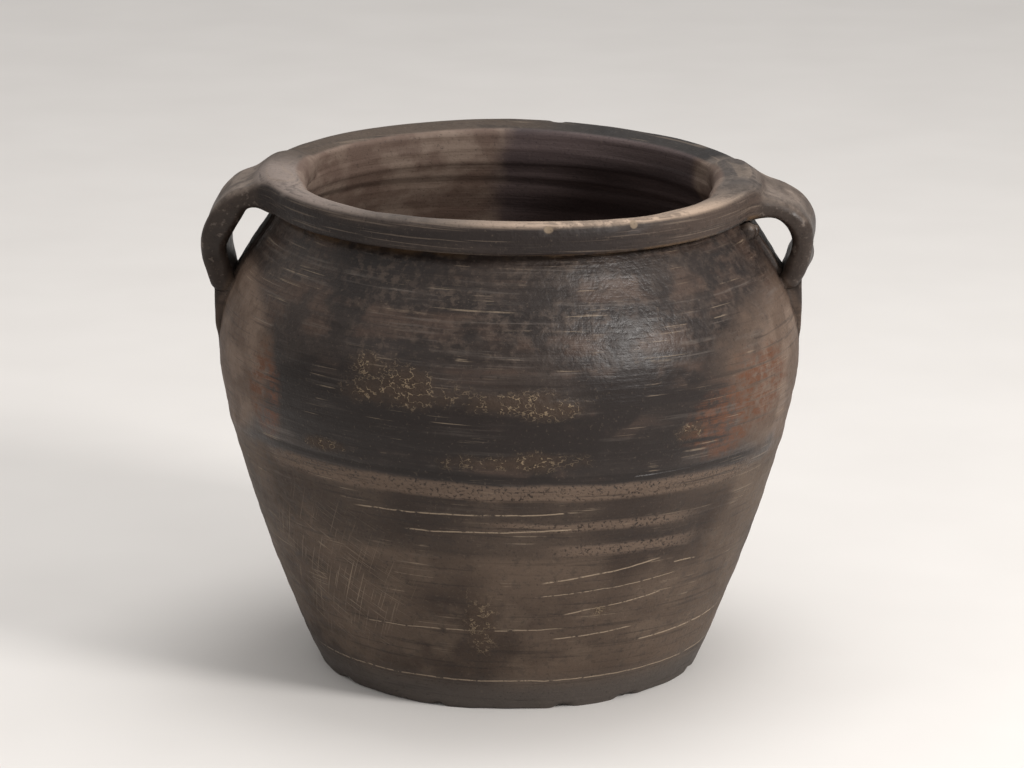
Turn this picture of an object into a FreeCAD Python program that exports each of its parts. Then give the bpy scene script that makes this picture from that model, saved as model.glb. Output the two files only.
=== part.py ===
"""A wide-mouthed black clay pot with two strap handles, as the clay pieces it is built from.

The pot stands on z = 0 with its turning axis on Z and its handles at +X and -X. A round slab
is the floor, two thrown walls are stacked on it, and a rolled collar closes the neck. Each
handle is a strap arched from the collar down to a backing strip on the shoulder. Every joint
is face to face, as luted clay is, so no two pieces share any volume.

Lengths are millimetres and angles are degrees.
"""

import FreeCAD, Part
import Sketcher
import math
import os
import re

from FreeCAD import Placement, Rotation, Vector

DRIVING_DIMENSIONS = {
    # outline of the outside, a lower arc, a belly arc and a straight shoulder
    "foot_radius": 104.5,
    "lower_arc_radius": 640,
    "belly_radius": 160,
    "belly_height": 177,
    "belly_arc_radius": 90,
    "neck_radius": 125,
    "neck_height": 257,
    "wall_thickness": 9,
    # floor and the joints between the thrown pieces
    "floor_height": 12,
    "slab_edge_height": 16,
    "seam_height": 141,
    "seam_bevel": 6,
    "corner_coil_reach": 13,
    "corner_coil_height": 25,
    "corner_coil_hollow": 26,
    "foot_edge_round": 1.2,
    # collar
    "collar_radius": 136,
    "collar_taper": 0.8,
    "collar_height": 277.9,
    "mouth_radius": 115.5,
    "mouth_lip_height": 271,
    "throat_height": 255.5,
    "collar_outer_round": 6,
    "collar_lip_round": 2.5,
    "collar_lower_round": 2,
    # handle strap: a bend of constant radius between the root and the foot
    "bend_reach": 138,
    "bend_level": 238,
    "bend_radius": 24,
    "shoulder_turn": 24,
    "early_turn": 52,
    "middle_turn": 80,
    "late_turn": 106,
    "root_inset": 7.5,
    "root_level": 265,
    "root_width": 78,
    "root_thickness": 13,
    "foot_reach": 149.5,
    "foot_level": 213,
    "foot_slope": 128,
    "foot_width": 43,
    "foot_thickness": 10,
    "bend_width": 47,
    "shoulder_width": 57,
    "strap_thickness": 13,
    # backing strip on the shoulder under each strap
    "strip_angle": 16,
    "strip_thickness": 4.5,
    "strip_shelf_depth": 6.75,
    "strip_top_height": 252,
    "strip_waist_height": 226,
    "tail_depth": 9,
    "tail_radius": 161.6,
    "tail_top_height": 209,
    "tail_end_radius": 160.6,
    "tail_end_height": 180,
}
# The sections of the strap on its bend: the cell of how far each has turned, and of its width.
BEND_SECTIONS = [("shoulder_turn", "shoulder_width"), ("early_turn", "bend_width"),
                 ("middle_turn", "bend_width"), ("late_turn", "bend_width")]

START, END, CENTRE = 1, 2, 3
ORIGIN = (-1, START)
X_AXIS = -1


def make_sheet(doc):
    """The driving dimensions, one named cell each."""
    sheet = doc.addObject("Spreadsheet::Sheet", "sheet")
    for row, (name, value) in enumerate(DRIVING_DIMENSIONS.items(), start=1):
        sheet.set(f"A{row}", name)
        sheet.set(f"B{row}", str(value))
        sheet.setAlias(f"B{row}", name)
    doc.recompute()
    return sheet


def bound(text):
    """An expression in which every driving dimension's name is read from the sheet."""
    return re.sub(r"[a-z_]+", lambda word: f"sheet.{word[0]}" if word[0] in DRIVING_DIMENSIONS
                  else word[0], text)


def value_of(sheet, name):
    return float(sheet.get(name))


class Profile:
    """A closed outline on one of a body's origin planes, held by constraints bound to the sheet."""

    def __init__(self, body, name, plane):
        self.sketch = body.newObject("Sketcher::SketchObject", name)
        origin_plane = next(f for f in body.Origin.OriginFeatures if f.Role == plane)
        self.sketch.AttachmentSupport = (origin_plane, [""])
        self.sketch.MapMode = "FlatFace"

    def line(self, start, end, construction=False):
        edge = Part.LineSegment(Vector(*start, 0), Vector(*end, 0))
        return self.sketch.addGeometry(edge, construction)

    def arc(self, centre, radius, start, end, construction=False):
        """An anticlockwise arc between the directions of two points seen from its centre."""
        circle = Part.Circle(Vector(*centre, 0), Vector(0, 0, 1), radius)
        angles = [math.atan2(p[1] - centre[1], p[0] - centre[0]) for p in (start, end)]
        return self.sketch.addGeometry(Part.ArcOfCircle(circle, *angles), construction)

    def circle(self, centre, radius):
        """A construction circle."""
        edge = Part.Circle(Vector(*centre, 0), Vector(0, 0, 1), radius)
        return self.sketch.addGeometry(edge, True)

    def point(self, place):
        """A construction point."""
        return self.sketch.addGeometry(Part.Point(Vector(*place, 0)), True)

    def hold(self, kind, *what):
        return self.sketch.addConstraint(Sketcher.Constraint(kind, *what))

    def size(self, kind, what, formula, now):
        """A dimension whose value is a formula over the sheet."""
        index = self.hold(kind, *what, now)
        self.sketch.setExpression(f"Constraints[{index}]", bound(formula))

    def place(self, point, across, up, now):
        """Fixes a point at two formulas from the sketch's origin."""
        self.size("DistanceX", (*ORIGIN, *point), across, now[0])
        self.size("DistanceY", (*ORIGIN, *point), up, now[1])

    def chain(self, *ends):
        """Joins listed ends two by two."""
        for first, second in zip(ends[::2], ends[1::2], strict=True):
            self.hold("Coincident", *first, *second)


class Outline:
    """Where the outside's arcs and shoulder line lie, worked out from the sheet's present values."""

    def __init__(self, sheet):
        foot, reach = value_of(sheet, "foot_radius"), value_of(sheet, "belly_radius")
        self.lower_radius = value_of(sheet, "lower_arc_radius")
        self.belly_arc_radius = value_of(sheet, "belly_arc_radius")
        self.wall = value_of(sheet, "wall_thickness")
        self.foot = Vector(foot, 0, 0)
        self.belly_centre = Vector(reach - self.belly_arc_radius, value_of(sheet, "belly_height"), 0)
        self.neck = Vector(value_of(sheet, "neck_radius"), value_of(sheet, "neck_height"), 0)
        self.lower_centre = self._tangent_circle_centre()
        towards = (self.belly_centre - self.lower_centre).normalize()
        self.belly_start = self.lower_centre + towards * self.lower_radius
        self.shoulder_start = self._tangent_from_neck()
        along = (self.neck - self.shoulder_start).normalize()
        self.inward = Vector(-along.y, along.x, 0)

    def _tangent_circle_centre(self):
        """Centre of the lower arc, which starts at the foot and touches the belly circle inside."""
        apart = self.belly_centre - self.foot
        gap = self.lower_radius - self.belly_arc_radius
        along = (self.lower_radius**2 - gap**2 + apart.Length**2) / (2 * apart.Length)
        aside = math.sqrt(self.lower_radius**2 - along**2)
        unit = Vector(apart).normalize()
        return self.foot + unit * along + Vector(-unit.y, unit.x, 0) * aside

    def _tangent_from_neck(self):
        """Where a line from the neck touches the belly circle on its outer side."""
        apart = self.neck - self.belly_centre
        turn = math.acos(self.belly_arc_radius / apart.Length)
        angle = math.atan2(apart.y, apart.x) - turn
        return self.belly_centre + Vector(math.cos(angle), math.sin(angle), 0) * self.belly_arc_radius

    def lower_point(self, height, inset=0.0):
        """The point of the lower arc, or of the inside surface, at a height."""
        rise = height - self.lower_centre.y
        radius = self.lower_radius - inset
        return (self.lower_centre.x + math.sqrt(radius**2 - rise**2), height)


def xy(vector):
    return (vector.x, vector.y)


def hold_lower_arc(profile, arc, outline):
    """Ties the lower arc to the foot point and to the belly circle that it touches."""
    foot = profile.point(xy(outline.foot))
    profile.place((foot, START), "foot_radius", "0", xy(outline.foot))
    belly = profile.circle(xy(outline.belly_centre), outline.belly_arc_radius)
    profile.place((belly, CENTRE), "belly_radius - belly_arc_radius", "belly_height",
                  xy(outline.belly_centre))
    profile.size("Radius", (belly,), "belly_arc_radius", outline.belly_arc_radius)
    profile.size("Radius", (arc,), "lower_arc_radius", outline.lower_radius)
    profile.hold("PointOnObject", foot, START, arc)
    profile.hold("Tangent", arc, belly)


def hold_shoulder_line(profile, outline):
    """The shoulder as a construction line, from where it leaves the belly arc up to the neck."""
    widest = outline.belly_centre + Vector(outline.belly_arc_radius, 0, 0)
    belly = profile.arc(xy(outline.belly_centre), outline.belly_arc_radius, xy(widest),
                        xy(outline.shoulder_start), construction=True)
    shoulder = profile.line(xy(outline.shoulder_start), xy(outline.neck), construction=True)
    profile.place((belly, START), "belly_radius", "belly_height", xy(widest))
    profile.place((belly, CENTRE), "belly_radius - belly_arc_radius", "belly_height",
                  xy(outline.belly_centre))
    profile.place((shoulder, END), "neck_radius", "neck_height", xy(outline.neck))
    profile.hold("Tangent", belly, END, shoulder, START)
    return shoulder


def height_of(profile, point, formula, now):
    profile.size("DistanceY", (*ORIGIN, *point), formula, now)


def revolve(body, profile, name, angle=None):
    """A full turn of the profile, or a part of a turn centred on its plane."""
    turn = body.newObject("PartDesign::Revolution", name)
    turn.Profile = profile.sketch
    turn.ReferenceAxis = (profile.sketch, ["V_Axis"])
    if angle is None:
        turn.Angle = 360
    else:
        turn.Midplane = True
        turn.setExpression("Angle", bound(angle))
    profile.sketch.Visibility = False
    return turn


def circular_edges(shape, radius, height):
    """Names of the round edges at a radius and a height on the turning axis."""
    found = []
    for index, edge in enumerate(shape.Edges, start=1):
        curve = edge.Curve
        if isinstance(curve, Part.Circle) and abs(curve.Axis.z) > 0.99:
            if abs(curve.Radius - radius) < 0.05 and abs(curve.Center.z - height) < 0.05:
                found.append(f"Edge{index}")
    return found


def round_edge(doc, body, base, radius, height, formula):
    """Rounds one circular edge of a turned piece."""
    doc.recompute()
    fillet = body.newObject("PartDesign::Fillet", "Fillet")
    fillet.Base = (base, circular_edges(base.Shape, radius, height))
    fillet.setExpression("Radius", bound(formula))
    doc.recompute()
    return fillet


def make_base_slab(doc, sheet, outline):
    """The flat round slab that the pot was started on; its edge is the foot that shows."""
    body = doc.addObject("PartDesign::Body", "base_slab")
    profile = Profile(body, "slab_profile", "XZ_Plane")
    floor, edge = value_of(sheet, "floor_height"), value_of(sheet, "slab_edge_height")
    top_outer, top_inner = outline.lower_point(edge), outline.lower_point(floor, outline.wall)
    under = profile.line((0, 0), xy(outline.foot))
    side = profile.arc(xy(outline.lower_centre), outline.lower_radius, xy(outline.foot), top_outer)
    seat = profile.line(top_outer, top_inner)
    top = profile.line(top_inner, (0, floor))
    axis = profile.line((0, floor), (0, 0))
    profile.chain((under, END), (side, START), (side, END), (seat, START), (seat, END), (top, START),
                  (top, END), (axis, START), (axis, END), (under, START))
    profile.hold("Coincident", under, START, *ORIGIN)
    profile.hold("Horizontal", under)
    profile.hold("Horizontal", top)
    profile.hold("Vertical", axis)
    hold_lower_arc(profile, side, outline)
    height_of(profile, (side, END), "slab_edge_height", edge)
    inside = profile.circle(xy(outline.lower_centre), outline.lower_radius - outline.wall)
    profile.hold("Coincident", inside, CENTRE, side, CENTRE)
    profile.size("Radius", (inside,), "lower_arc_radius - wall_thickness",
                 outline.lower_radius - outline.wall)
    profile.hold("PointOnObject", seat, END, inside)
    height_of(profile, (seat, END), "floor_height", floor)
    turn = revolve(body, profile, "slab_turn")
    round_edge(doc, body, turn, outline.foot.x, 0, "foot_edge_round")
    return body


def make_lower_wall(doc, sheet, outline):
    """The lower thrown wall, from the slab's seat up to the bevelled seam in the belly."""
    body = doc.addObject("PartDesign::Body", "lower_wall")
    profile = Profile(body, "lower_wall_profile", "XZ_Plane")
    floor, edge = value_of(sheet, "floor_height"), value_of(sheet, "slab_edge_height")
    seam = value_of(sheet, "seam_height")
    seam_inside = seam + value_of(sheet, "seam_bevel")
    inside_radius = outline.lower_radius - outline.wall
    foot_outer, foot_inner = outline.lower_point(edge), outline.lower_point(floor, outline.wall)
    seam_outer, seam_inner = outline.lower_point(seam), outline.lower_point(seam_inside, outline.wall)
    outer = profile.arc(xy(outline.lower_centre), outline.lower_radius, foot_outer, seam_outer)
    inner = profile.arc(xy(outline.lower_centre), inside_radius, foot_inner, seam_inner)
    bevel = profile.line(seam_outer, seam_inner)
    seat = profile.line(foot_inner, foot_outer)
    profile.chain((outer, END), (bevel, START), (bevel, END), (inner, END),
                  (inner, START), (seat, START), (seat, END), (outer, START))
    hold_lower_arc(profile, outer, outline)
    profile.hold("Coincident", inner, CENTRE, outer, CENTRE)
    profile.size("Radius", (inner,), "lower_arc_radius - wall_thickness", inside_radius)
    height_of(profile, (outer, START), "slab_edge_height", edge)
    height_of(profile, (outer, END), "seam_height", seam)
    height_of(profile, (inner, START), "floor_height", floor)
    height_of(profile, (inner, END), "seam_height + seam_bevel", seam_inside)
    revolve(body, profile, "lower_wall_turn")
    return body


def make_upper_wall(doc, sheet, outline):
    """The upper thrown wall: the top of the belly and the shoulder, up to the neck."""
    body = doc.addObject("PartDesign::Body", "upper_wall")
    profile = Profile(body, "upper_wall_profile", "XZ_Plane")
    seam = value_of(sheet, "seam_height")
    seam_inside = seam + value_of(sheet, "seam_bevel")
    wall, lower, belly = outline.wall, outline.lower_radius, outline.belly_arc_radius
    seam_outer, seam_inner = outline.lower_point(seam), outline.lower_point(seam_inside, wall)
    belly_out = (outline.belly_start - outline.belly_centre).normalize()
    belly_start_inside = outline.belly_centre + belly_out * (belly - wall)
    shoulder_inside = outline.shoulder_start + outline.inward * wall
    neck_inside = outline.neck + outline.inward * wall
    lower_out = profile.arc(xy(outline.lower_centre), lower, seam_outer, xy(outline.belly_start))
    belly_arc = profile.arc(xy(outline.belly_centre), belly, xy(outline.belly_start),
                            xy(outline.shoulder_start))
    shoulder = profile.line(xy(outline.shoulder_start), xy(outline.neck))
    neck = profile.line(xy(outline.neck), xy(neck_inside))
    shoulder_in = profile.line(xy(neck_inside), xy(shoulder_inside))
    belly_in = profile.arc(xy(outline.belly_centre), belly - wall, xy(belly_start_inside),
                           xy(shoulder_inside))
    lower_in = profile.arc(xy(outline.lower_centre), lower - wall, seam_inner, xy(belly_start_inside))
    bevel = profile.line(seam_inner, seam_outer)
    profile.hold("Tangent", lower_out, END, belly_arc, START)
    profile.hold("Tangent", belly_arc, END, shoulder, START)
    profile.chain((shoulder, END), (neck, START), (neck, END), (shoulder_in, START))
    profile.hold("Tangent", shoulder_in, END, belly_in, END)
    profile.hold("Tangent", belly_in, START, lower_in, END)
    profile.chain((lower_in, START), (bevel, START), (bevel, END), (lower_out, START))
    profile.place((belly_arc, CENTRE), "belly_radius - belly_arc_radius", "belly_height",
                  xy(outline.belly_centre))
    profile.size("Radius", (belly_arc,), "belly_arc_radius", belly)
    profile.size("Radius", (lower_out,), "lower_arc_radius", lower)
    foot = profile.point(xy(outline.foot))
    profile.place((foot, START), "foot_radius", "0", xy(outline.foot))
    profile.hold("PointOnObject", foot, START, lower_out)
    profile.place((shoulder, END), "neck_radius", "neck_height", xy(outline.neck))
    profile.hold("Coincident", belly_in, CENTRE, belly_arc, CENTRE)
    profile.size("Radius", (belly_in,), "belly_arc_radius - wall_thickness", belly - wall)
    profile.hold("Coincident", lower_in, CENTRE, lower_out, CENTRE)
    profile.hold("Perpendicular", neck, shoulder)
    profile.hold("Parallel", shoulder_in, shoulder)
    height_of(profile, (lower_out, START), "seam_height", seam)
    height_of(profile, (lower_in, START), "seam_height + seam_bevel", seam_inside)
    revolve(body, profile, "upper_wall_turn")
    return body


def make_rim_collar(doc, sheet, outline):
    """The rolled collar luted on the neck, with an inward-sloping top and a round mouth."""
    body = doc.addObject("PartDesign::Body", "rim_collar")
    profile = Profile(body, "collar_profile", "XZ_Plane")
    neck, neck_inside = outline.neck, outline.neck + outline.inward * outline.wall
    band_radius = value_of(sheet, "collar_radius")
    lower_radius = band_radius - value_of(sheet, "collar_taper")
    top, lip = value_of(sheet, "collar_height"), value_of(sheet, "mouth_lip_height")
    mouth, throat = value_of(sheet, "mouth_radius"), value_of(sheet, "throat_height")
    corners = [xy(neck), (lower_radius, neck.y), (band_radius, top), (mouth, lip), (mouth, throat),
               xy(neck_inside)]
    sides = [profile.line(p, q) for p, q in zip(corners, corners[1:] + corners[:1], strict=True)]
    for side, following in zip(sides, sides[1:] + sides[:1], strict=True):
        profile.hold("Coincident", side, END, following, START)
    under, band, crown, bore, throat_side, seat = sides
    profile.place((under, START), "neck_radius", "neck_height", xy(neck))
    profile.hold("Horizontal", under)
    profile.size("DistanceX", (*ORIGIN, under, END), "collar_radius - collar_taper", lower_radius)
    profile.place((band, END), "collar_radius", "collar_height", (band_radius, top))
    profile.place((crown, END), "mouth_radius", "mouth_lip_height", (mouth, lip))
    profile.hold("Vertical", bore)
    height_of(profile, (bore, END), "throat_height", throat)
    profile.size("Distance", (seat,), "wall_thickness", outline.wall)
    profile.hold("Perpendicular", seat, hold_shoulder_line(profile, outline))
    turn = revolve(body, profile, "collar_turn")
    outer = round_edge(doc, body, turn, band_radius, top, "collar_outer_round")
    inner = round_edge(doc, body, outer, mouth, lip, "collar_lip_round")
    round_edge(doc, body, inner, lower_radius, neck.y, "collar_lower_round")
    return body


def trimmed(doc, label, base, neighbours):
    """A piece cut back to the faces of the pieces that it is pressed against."""
    for count, neighbour in enumerate(neighbours):
        cut = doc.addObject("Part::Cut", f"{label}_cut_{count}")
        cut.Base = base
        cut.Tool = neighbour
        base = cut
    base.Label = label
    return base


def mirrored(doc, label, source):
    """The same piece on the other side of the pot."""
    mirror = doc.addObject("Part::Mirroring", label)
    mirror.Source = source
    mirror.Normal = Vector(1, 0, 0)
    mirror.Base = Vector(0, 0, 0)
    mirror.Label = label
    return mirror


def make_corner_coil(doc, sheet, outline):
    """A thin coil smoothed into the corner between the floor and the wall, inside."""
    body = doc.addObject("PartDesign::Body", "base_corner_coil")
    profile = Profile(body, "coil_profile", "XZ_Plane")
    floor, height = value_of(sheet, "floor_height"), value_of(sheet, "corner_coil_height")
    reach, hollow = value_of(sheet, "corner_coil_reach"), value_of(sheet, "corner_coil_hollow")
    inside_radius = outline.lower_radius - outline.wall
    corner, top = outline.lower_point(floor, outline.wall), outline.lower_point(height, outline.wall)
    toe = (corner[0] - reach, floor)
    chord = Vector(top[0] - toe[0], top[1] - toe[1], 0)
    rise = math.sqrt(hollow**2 - (chord.Length / 2) ** 2)
    aside = Vector(-chord.y, chord.x, 0).normalize() * rise
    centre = (toe[0] + chord.x / 2 + aside.x, toe[1] + chord.y / 2 + aside.y)
    bed = profile.line(toe, corner)
    back = profile.arc(xy(outline.lower_centre), inside_radius, corner, top)
    face = profile.arc(centre, hollow, toe, top)
    outside = profile.arc(xy(outline.lower_centre), outline.lower_radius, xy(outline.foot),
                          outline.lower_point(height), construction=True)
    profile.chain((bed, END), (back, START), (back, END), (face, END), (face, START), (bed, START))
    hold_lower_arc(profile, outside, outline)
    height_of(profile, (outside, START), "0", 0)
    height_of(profile, (outside, END), "corner_coil_height", height)
    profile.hold("Coincident", back, CENTRE, outside, CENTRE)
    profile.size("Radius", (back,), "lower_arc_radius - wall_thickness", inside_radius)
    profile.hold("Horizontal", bed)
    profile.size("Distance", (bed,), "corner_coil_reach", reach)
    profile.size("Radius", (face,), "corner_coil_hollow", hollow)
    height_of(profile, (bed, START), "floor_height", floor)
    height_of(profile, (back, END), "corner_coil_height", height)
    revolve(body, profile, "coil_turn")
    return body


def make_strap_section(body, name, sheet, place, width, thickness):
    """A round-edged section of the strap, square to its bend.

    place holds three formulas: reach along X, level along Z and how far the strap has turned down.
    """
    profile = Profile(body, name, "YZ_Plane")
    thick, wide = value_of(sheet, thickness), value_of(sheet, width)
    half, radius = (wide - thick) / 2, thick / 2
    top = profile.line((half, radius), (-half, radius))
    left = profile.arc((-half, 0), radius, (-half, radius), (-half, -radius))
    bottom = profile.line((-half, -radius), (half, -radius))
    right = profile.arc((half, 0), radius, (half, -radius), (half, radius))
    loop = [top, left, bottom, right]
    for edge, following in zip(loop, loop[1:] + loop[:1], strict=True):
        profile.hold("Tangent", edge, END, following, START)
    profile.hold("PointOnObject", right, CENTRE, X_AXIS)
    profile.hold("Symmetric", left, CENTRE, right, CENTRE, *ORIGIN)
    profile.hold("Equal", left, right)
    profile.size("Radius", (right,), f"{thickness} / 2", radius)
    profile.size("DistanceX", (*ORIGIN, right, CENTRE), f"({width} - {thickness}) / 2", half)
    reach, level, turned = place
    sketch = profile.sketch
    sketch.AttachmentOffset = Placement(Vector(0, 1, 1), Rotation(Vector(1, 0, 0), 1))
    sketch.setExpression("AttachmentOffset.Base.z", bound(reach))
    sketch.setExpression("AttachmentOffset.Base.y", bound(level))
    sketch.setExpression("AttachmentOffset.Rotation.Angle", bound(turned))
    sketch.Visibility = False
    return sketch


def make_strap_blank(doc, sheet):
    """The whole strap, with both ends still running into the collar and the shoulder."""
    body = doc.addObject("PartDesign::Body", "strap_blank")
    sections = [make_strap_section(
        body, "root_section", sheet, ("bend_reach - root_inset", "root_level", "0 deg"),
        "root_width", "root_thickness")]
    for turned, width in BEND_SECTIONS:
        place = (f"bend_reach + bend_radius * sin({turned} * 1 deg)",
                 f"bend_level + bend_radius * cos({turned} * 1 deg)", f"{turned} * 1 deg")
        sections.append(make_strap_section(body, f"{turned}_section", sheet, place, width,
                                           "strap_thickness"))
    sections.append(make_strap_section(
        body, "foot_section", sheet, ("foot_reach", "foot_level", "foot_slope * 1 deg"),
        "foot_width", "foot_thickness"))
    loft = body.newObject("PartDesign::AdditiveLoft", "strap_loft")
    loft.Profile = sections[0]
    loft.Sections = sections[1:]
    loft.Ruled = False
    return body


def make_strip_blank(doc, sheet, outline):
    """The backing strip before it is cut to the shoulder: a pad under the strap and a tail below."""
    body = doc.addObject("PartDesign::Body", "strip_blank")
    profile = Profile(body, "strip_profile", "XZ_Plane")
    thick, shelf_depth = value_of(sheet, "strip_thickness"), value_of(sheet, "strip_shelf_depth")
    depth = value_of(sheet, "tail_depth")
    top, waist = value_of(sheet, "strip_top_height"), value_of(sheet, "strip_waist_height")
    slope = outline.neck - outline.shoulder_start
    across = slope.x / slope.y
    offset = outline.neck - outline.inward * thick
    top_point = (offset.x + (top - offset.y) * across, top)
    waist_point = (offset.x + (waist - offset.y) * across, waist)
    tail = (value_of(sheet, "tail_radius"), value_of(sheet, "tail_top_height"))
    end = (value_of(sheet, "tail_end_radius"), value_of(sheet, "tail_end_height"))
    corners = [top_point, (top_point[0] - shelf_depth, top), (tail[0] - depth, tail[1]),
               (end[0] - thick, end[1]), end, tail, waist_point]
    sides = [profile.line(p, q) for p, q in zip(corners, corners[1:] + corners[:1], strict=True)]
    for side, following in zip(sides, sides[1:] + sides[:1], strict=True):
        profile.hold("Coincident", side, END, following, START)
    shelf, upper_back, tail_back, under, tail_face, knee, pad = sides
    profile.hold("Horizontal", shelf)
    profile.hold("Horizontal", under)
    profile.size("Distance", (shelf,), "strip_shelf_depth", shelf_depth)
    profile.size("Distance", (under,), "strip_thickness", thick)
    height_of(profile, (shelf, START), "strip_top_height", top)
    height_of(profile, (pad, START), "strip_waist_height", waist)
    profile.place((upper_back, END), "tail_radius - tail_depth", "tail_top_height", corners[2])
    profile.place((tail_face, END), "tail_radius", "tail_top_height", tail)
    profile.place((tail_face, START), "tail_end_radius", "tail_end_height", end)
    shoulder = hold_shoulder_line(profile, outline)
    profile.hold("Parallel", pad, shoulder)
    profile.size("Distance", (shoulder, END, pad), "strip_thickness", thick)
    revolve(body, profile, "strip_turn", "strip_angle * 1 deg")
    return body


def make_pot(doc):
    """Every piece of the pot, as the objects whose labels name their files."""
    sheet = make_sheet(doc)
    outline = Outline(sheet)
    slab = make_base_slab(doc, sheet, outline)
    lower = make_lower_wall(doc, sheet, outline)
    upper = make_upper_wall(doc, sheet, outline)
    collar = make_rim_collar(doc, sheet, outline)
    coil = make_corner_coil(doc, sheet, outline)
    strip = trimmed(doc, "backing_strip_right", make_strip_blank(doc, sheet, outline), [upper, lower])
    strap = trimmed(doc, "handle_strap_right", make_strap_blank(doc, sheet), [collar, upper, strip])
    right_side = [strap, strip]
    left_side = [mirrored(doc, piece.Label.replace("_right", "_left"), piece) for piece in right_side]
    doc.recompute()
    return [slab, lower, upper, collar, coil, *right_side, *left_side]


def check(doc, pieces):
    """Stops if any object failed to compute, or a piece is not one valid solid."""
    for item in doc.Objects:
        if {"Invalid", "Error"} & set(item.State):
            raise RuntimeError(f"{item.Name} failed: {item.State}")
    for piece in pieces:
        shape = piece.Shape
        if shape.isNull() or not shape.isValid() or len(shape.Solids) != 1:
            raise RuntimeError(f"{piece.Label} is not one valid solid")
        box = shape.optimalBoundingBox(False)
        print(f"{piece.Label:24s} {shape.Volume / 1000:8.1f} cm3  x {box.XMin:7.1f} {box.XMax:7.1f}"
              f"  y {box.YMin:7.1f} {box.YMax:7.1f}  z {box.ZMin:6.1f} {box.ZMax:6.1f}")


def main():
    doc = FreeCAD.newDocument("clay_pot")
    pieces = make_pot(doc)
    check(doc, pieces)
    os.makedirs("parts", exist_ok=True)
    for piece in pieces:
        piece.Shape.exportStep(f"parts/{piece.Label}.step")


main()
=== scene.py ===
"""Looks of the black clay pot: hand-thrown walls, a rolled collar and two pulled strap handles.

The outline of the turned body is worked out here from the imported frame's boxes. The walls, the
slab and the collar are turned grids of that outline, and the handles are meshed from a distance
field that melts each strap into the collar the way wet clay does. Helpers work in millimetres,
and a mesh is turned into metres when it is made.
"""

import math

import bpy
import numpy as np
from mathutils import Matrix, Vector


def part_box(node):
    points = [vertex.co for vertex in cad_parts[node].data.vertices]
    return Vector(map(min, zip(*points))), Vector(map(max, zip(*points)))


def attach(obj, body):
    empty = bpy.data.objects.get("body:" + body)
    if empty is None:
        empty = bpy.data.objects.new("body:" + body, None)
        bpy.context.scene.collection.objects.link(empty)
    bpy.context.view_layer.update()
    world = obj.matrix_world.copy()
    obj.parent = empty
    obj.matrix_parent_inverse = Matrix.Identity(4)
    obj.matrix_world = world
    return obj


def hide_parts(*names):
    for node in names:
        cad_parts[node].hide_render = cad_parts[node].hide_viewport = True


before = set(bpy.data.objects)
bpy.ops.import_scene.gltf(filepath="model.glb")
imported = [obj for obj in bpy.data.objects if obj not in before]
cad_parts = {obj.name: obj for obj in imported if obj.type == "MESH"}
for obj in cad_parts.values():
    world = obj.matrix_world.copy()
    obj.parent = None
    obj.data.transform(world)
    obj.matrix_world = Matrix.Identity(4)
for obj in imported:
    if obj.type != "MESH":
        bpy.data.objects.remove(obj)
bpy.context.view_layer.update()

MM = 0.001


def mm_box(node):
    """Lowest and highest corner of a CAD node in millimetres."""
    low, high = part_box(node)
    return np.array(low) / MM, np.array(high) / MM


# ---------------------------------------------------------------------------------------------
# Sizes, from the frame
# ---------------------------------------------------------------------------------------------
WALL = 9.0
SLAB_EDGE = mm_box("base_slab")[1][2]
SEAM_INNER = mm_box("lower_wall")[1][2]
SEAM_OUTER = mm_box("upper_wall")[0][2]
FLOOR = mm_box("base_corner_coil")[0][2]
COIL_TOP = mm_box("base_corner_coil")[1][2]
NECK_LEVEL = mm_box("upper_wall")[1][2]
RIM_TOP = mm_box("rim_collar")[1][2]
BELLY_RADIUS = mm_box("upper_wall")[1][0]
BAND_RADIUS = mm_box("rim_collar")[1][0]
FOOT_RADIUS = 104.5
LOWER_ARC = 640.0
BELLY_ARC = 90.0
BELLY_LEVEL = 177.0
NECK_RADIUS = 125.0
MOUTH_RADIUS = 115.5


# ---------------------------------------------------------------------------------------------
# Noise: smooth value noise on an integer lattice, the same on every run
# ---------------------------------------------------------------------------------------------
def lattice(cell, seed):
    """A repeatable value from 0 to 1 for each lattice cell."""
    mixed = (cell[0] * 73856093) ^ (cell[1] * 19349663) ^ (cell[2] * 83492791) ^ (seed * 2654435)
    mixed = (mixed ^ (mixed >> 13)) * 1274126177
    mixed = (mixed ^ (mixed >> 16)) & 0xFFFFFF
    return mixed / float(0xFFFFFF)


def noise(points, size, seed):
    """Smooth noise from -1 to 1; size is the length of a lump along X, Y and Z in millimetres."""
    place = [np.asarray(points[axis], float) / size[axis] for axis in range(3)]
    cell = [np.floor(p).astype(np.int64) for p in place]
    part = [p - c for p, c in zip(place, cell)]
    ease = [f * f * f * (f * (6 * f - 15) + 10) for f in part]
    total = 0.0
    for corner in np.ndindex(2, 2, 2):
        weight = 1.0
        for axis, side in enumerate(corner):
            weight = weight * (ease[axis] if side else 1 - ease[axis])
        total = total + weight * lattice([c + s for c, s in zip(cell, corner)], seed)
    return 2 * total - 1


def lumps(points, size, seed, octaves=2):
    """Several octaves of noise with the same size along every axis."""
    total = 0.0
    for octave in range(octaves):
        scale = size / 2**octave
        total = total + noise(points, (scale, scale, scale), seed + octave) / 2**octave
    return total


def smooth(value, low, high):
    """0 below low, 1 above high, eased between."""
    t = np.clip((value - low) / (high - low), 0, 1)
    return t * t * (3 - 2 * t)


# ---------------------------------------------------------------------------------------------
# The turned outline
# ---------------------------------------------------------------------------------------------
def arc(centre, radius, start, end, step):
    """Points of an arc between two angles, about step apart."""
    count = max(2, int(abs(end - start) * radius / step) + 1)
    angles = np.linspace(start, end, count)
    return np.column_stack([centre[0] + radius * np.cos(angles), centre[1] + radius * np.sin(angles)])


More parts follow.
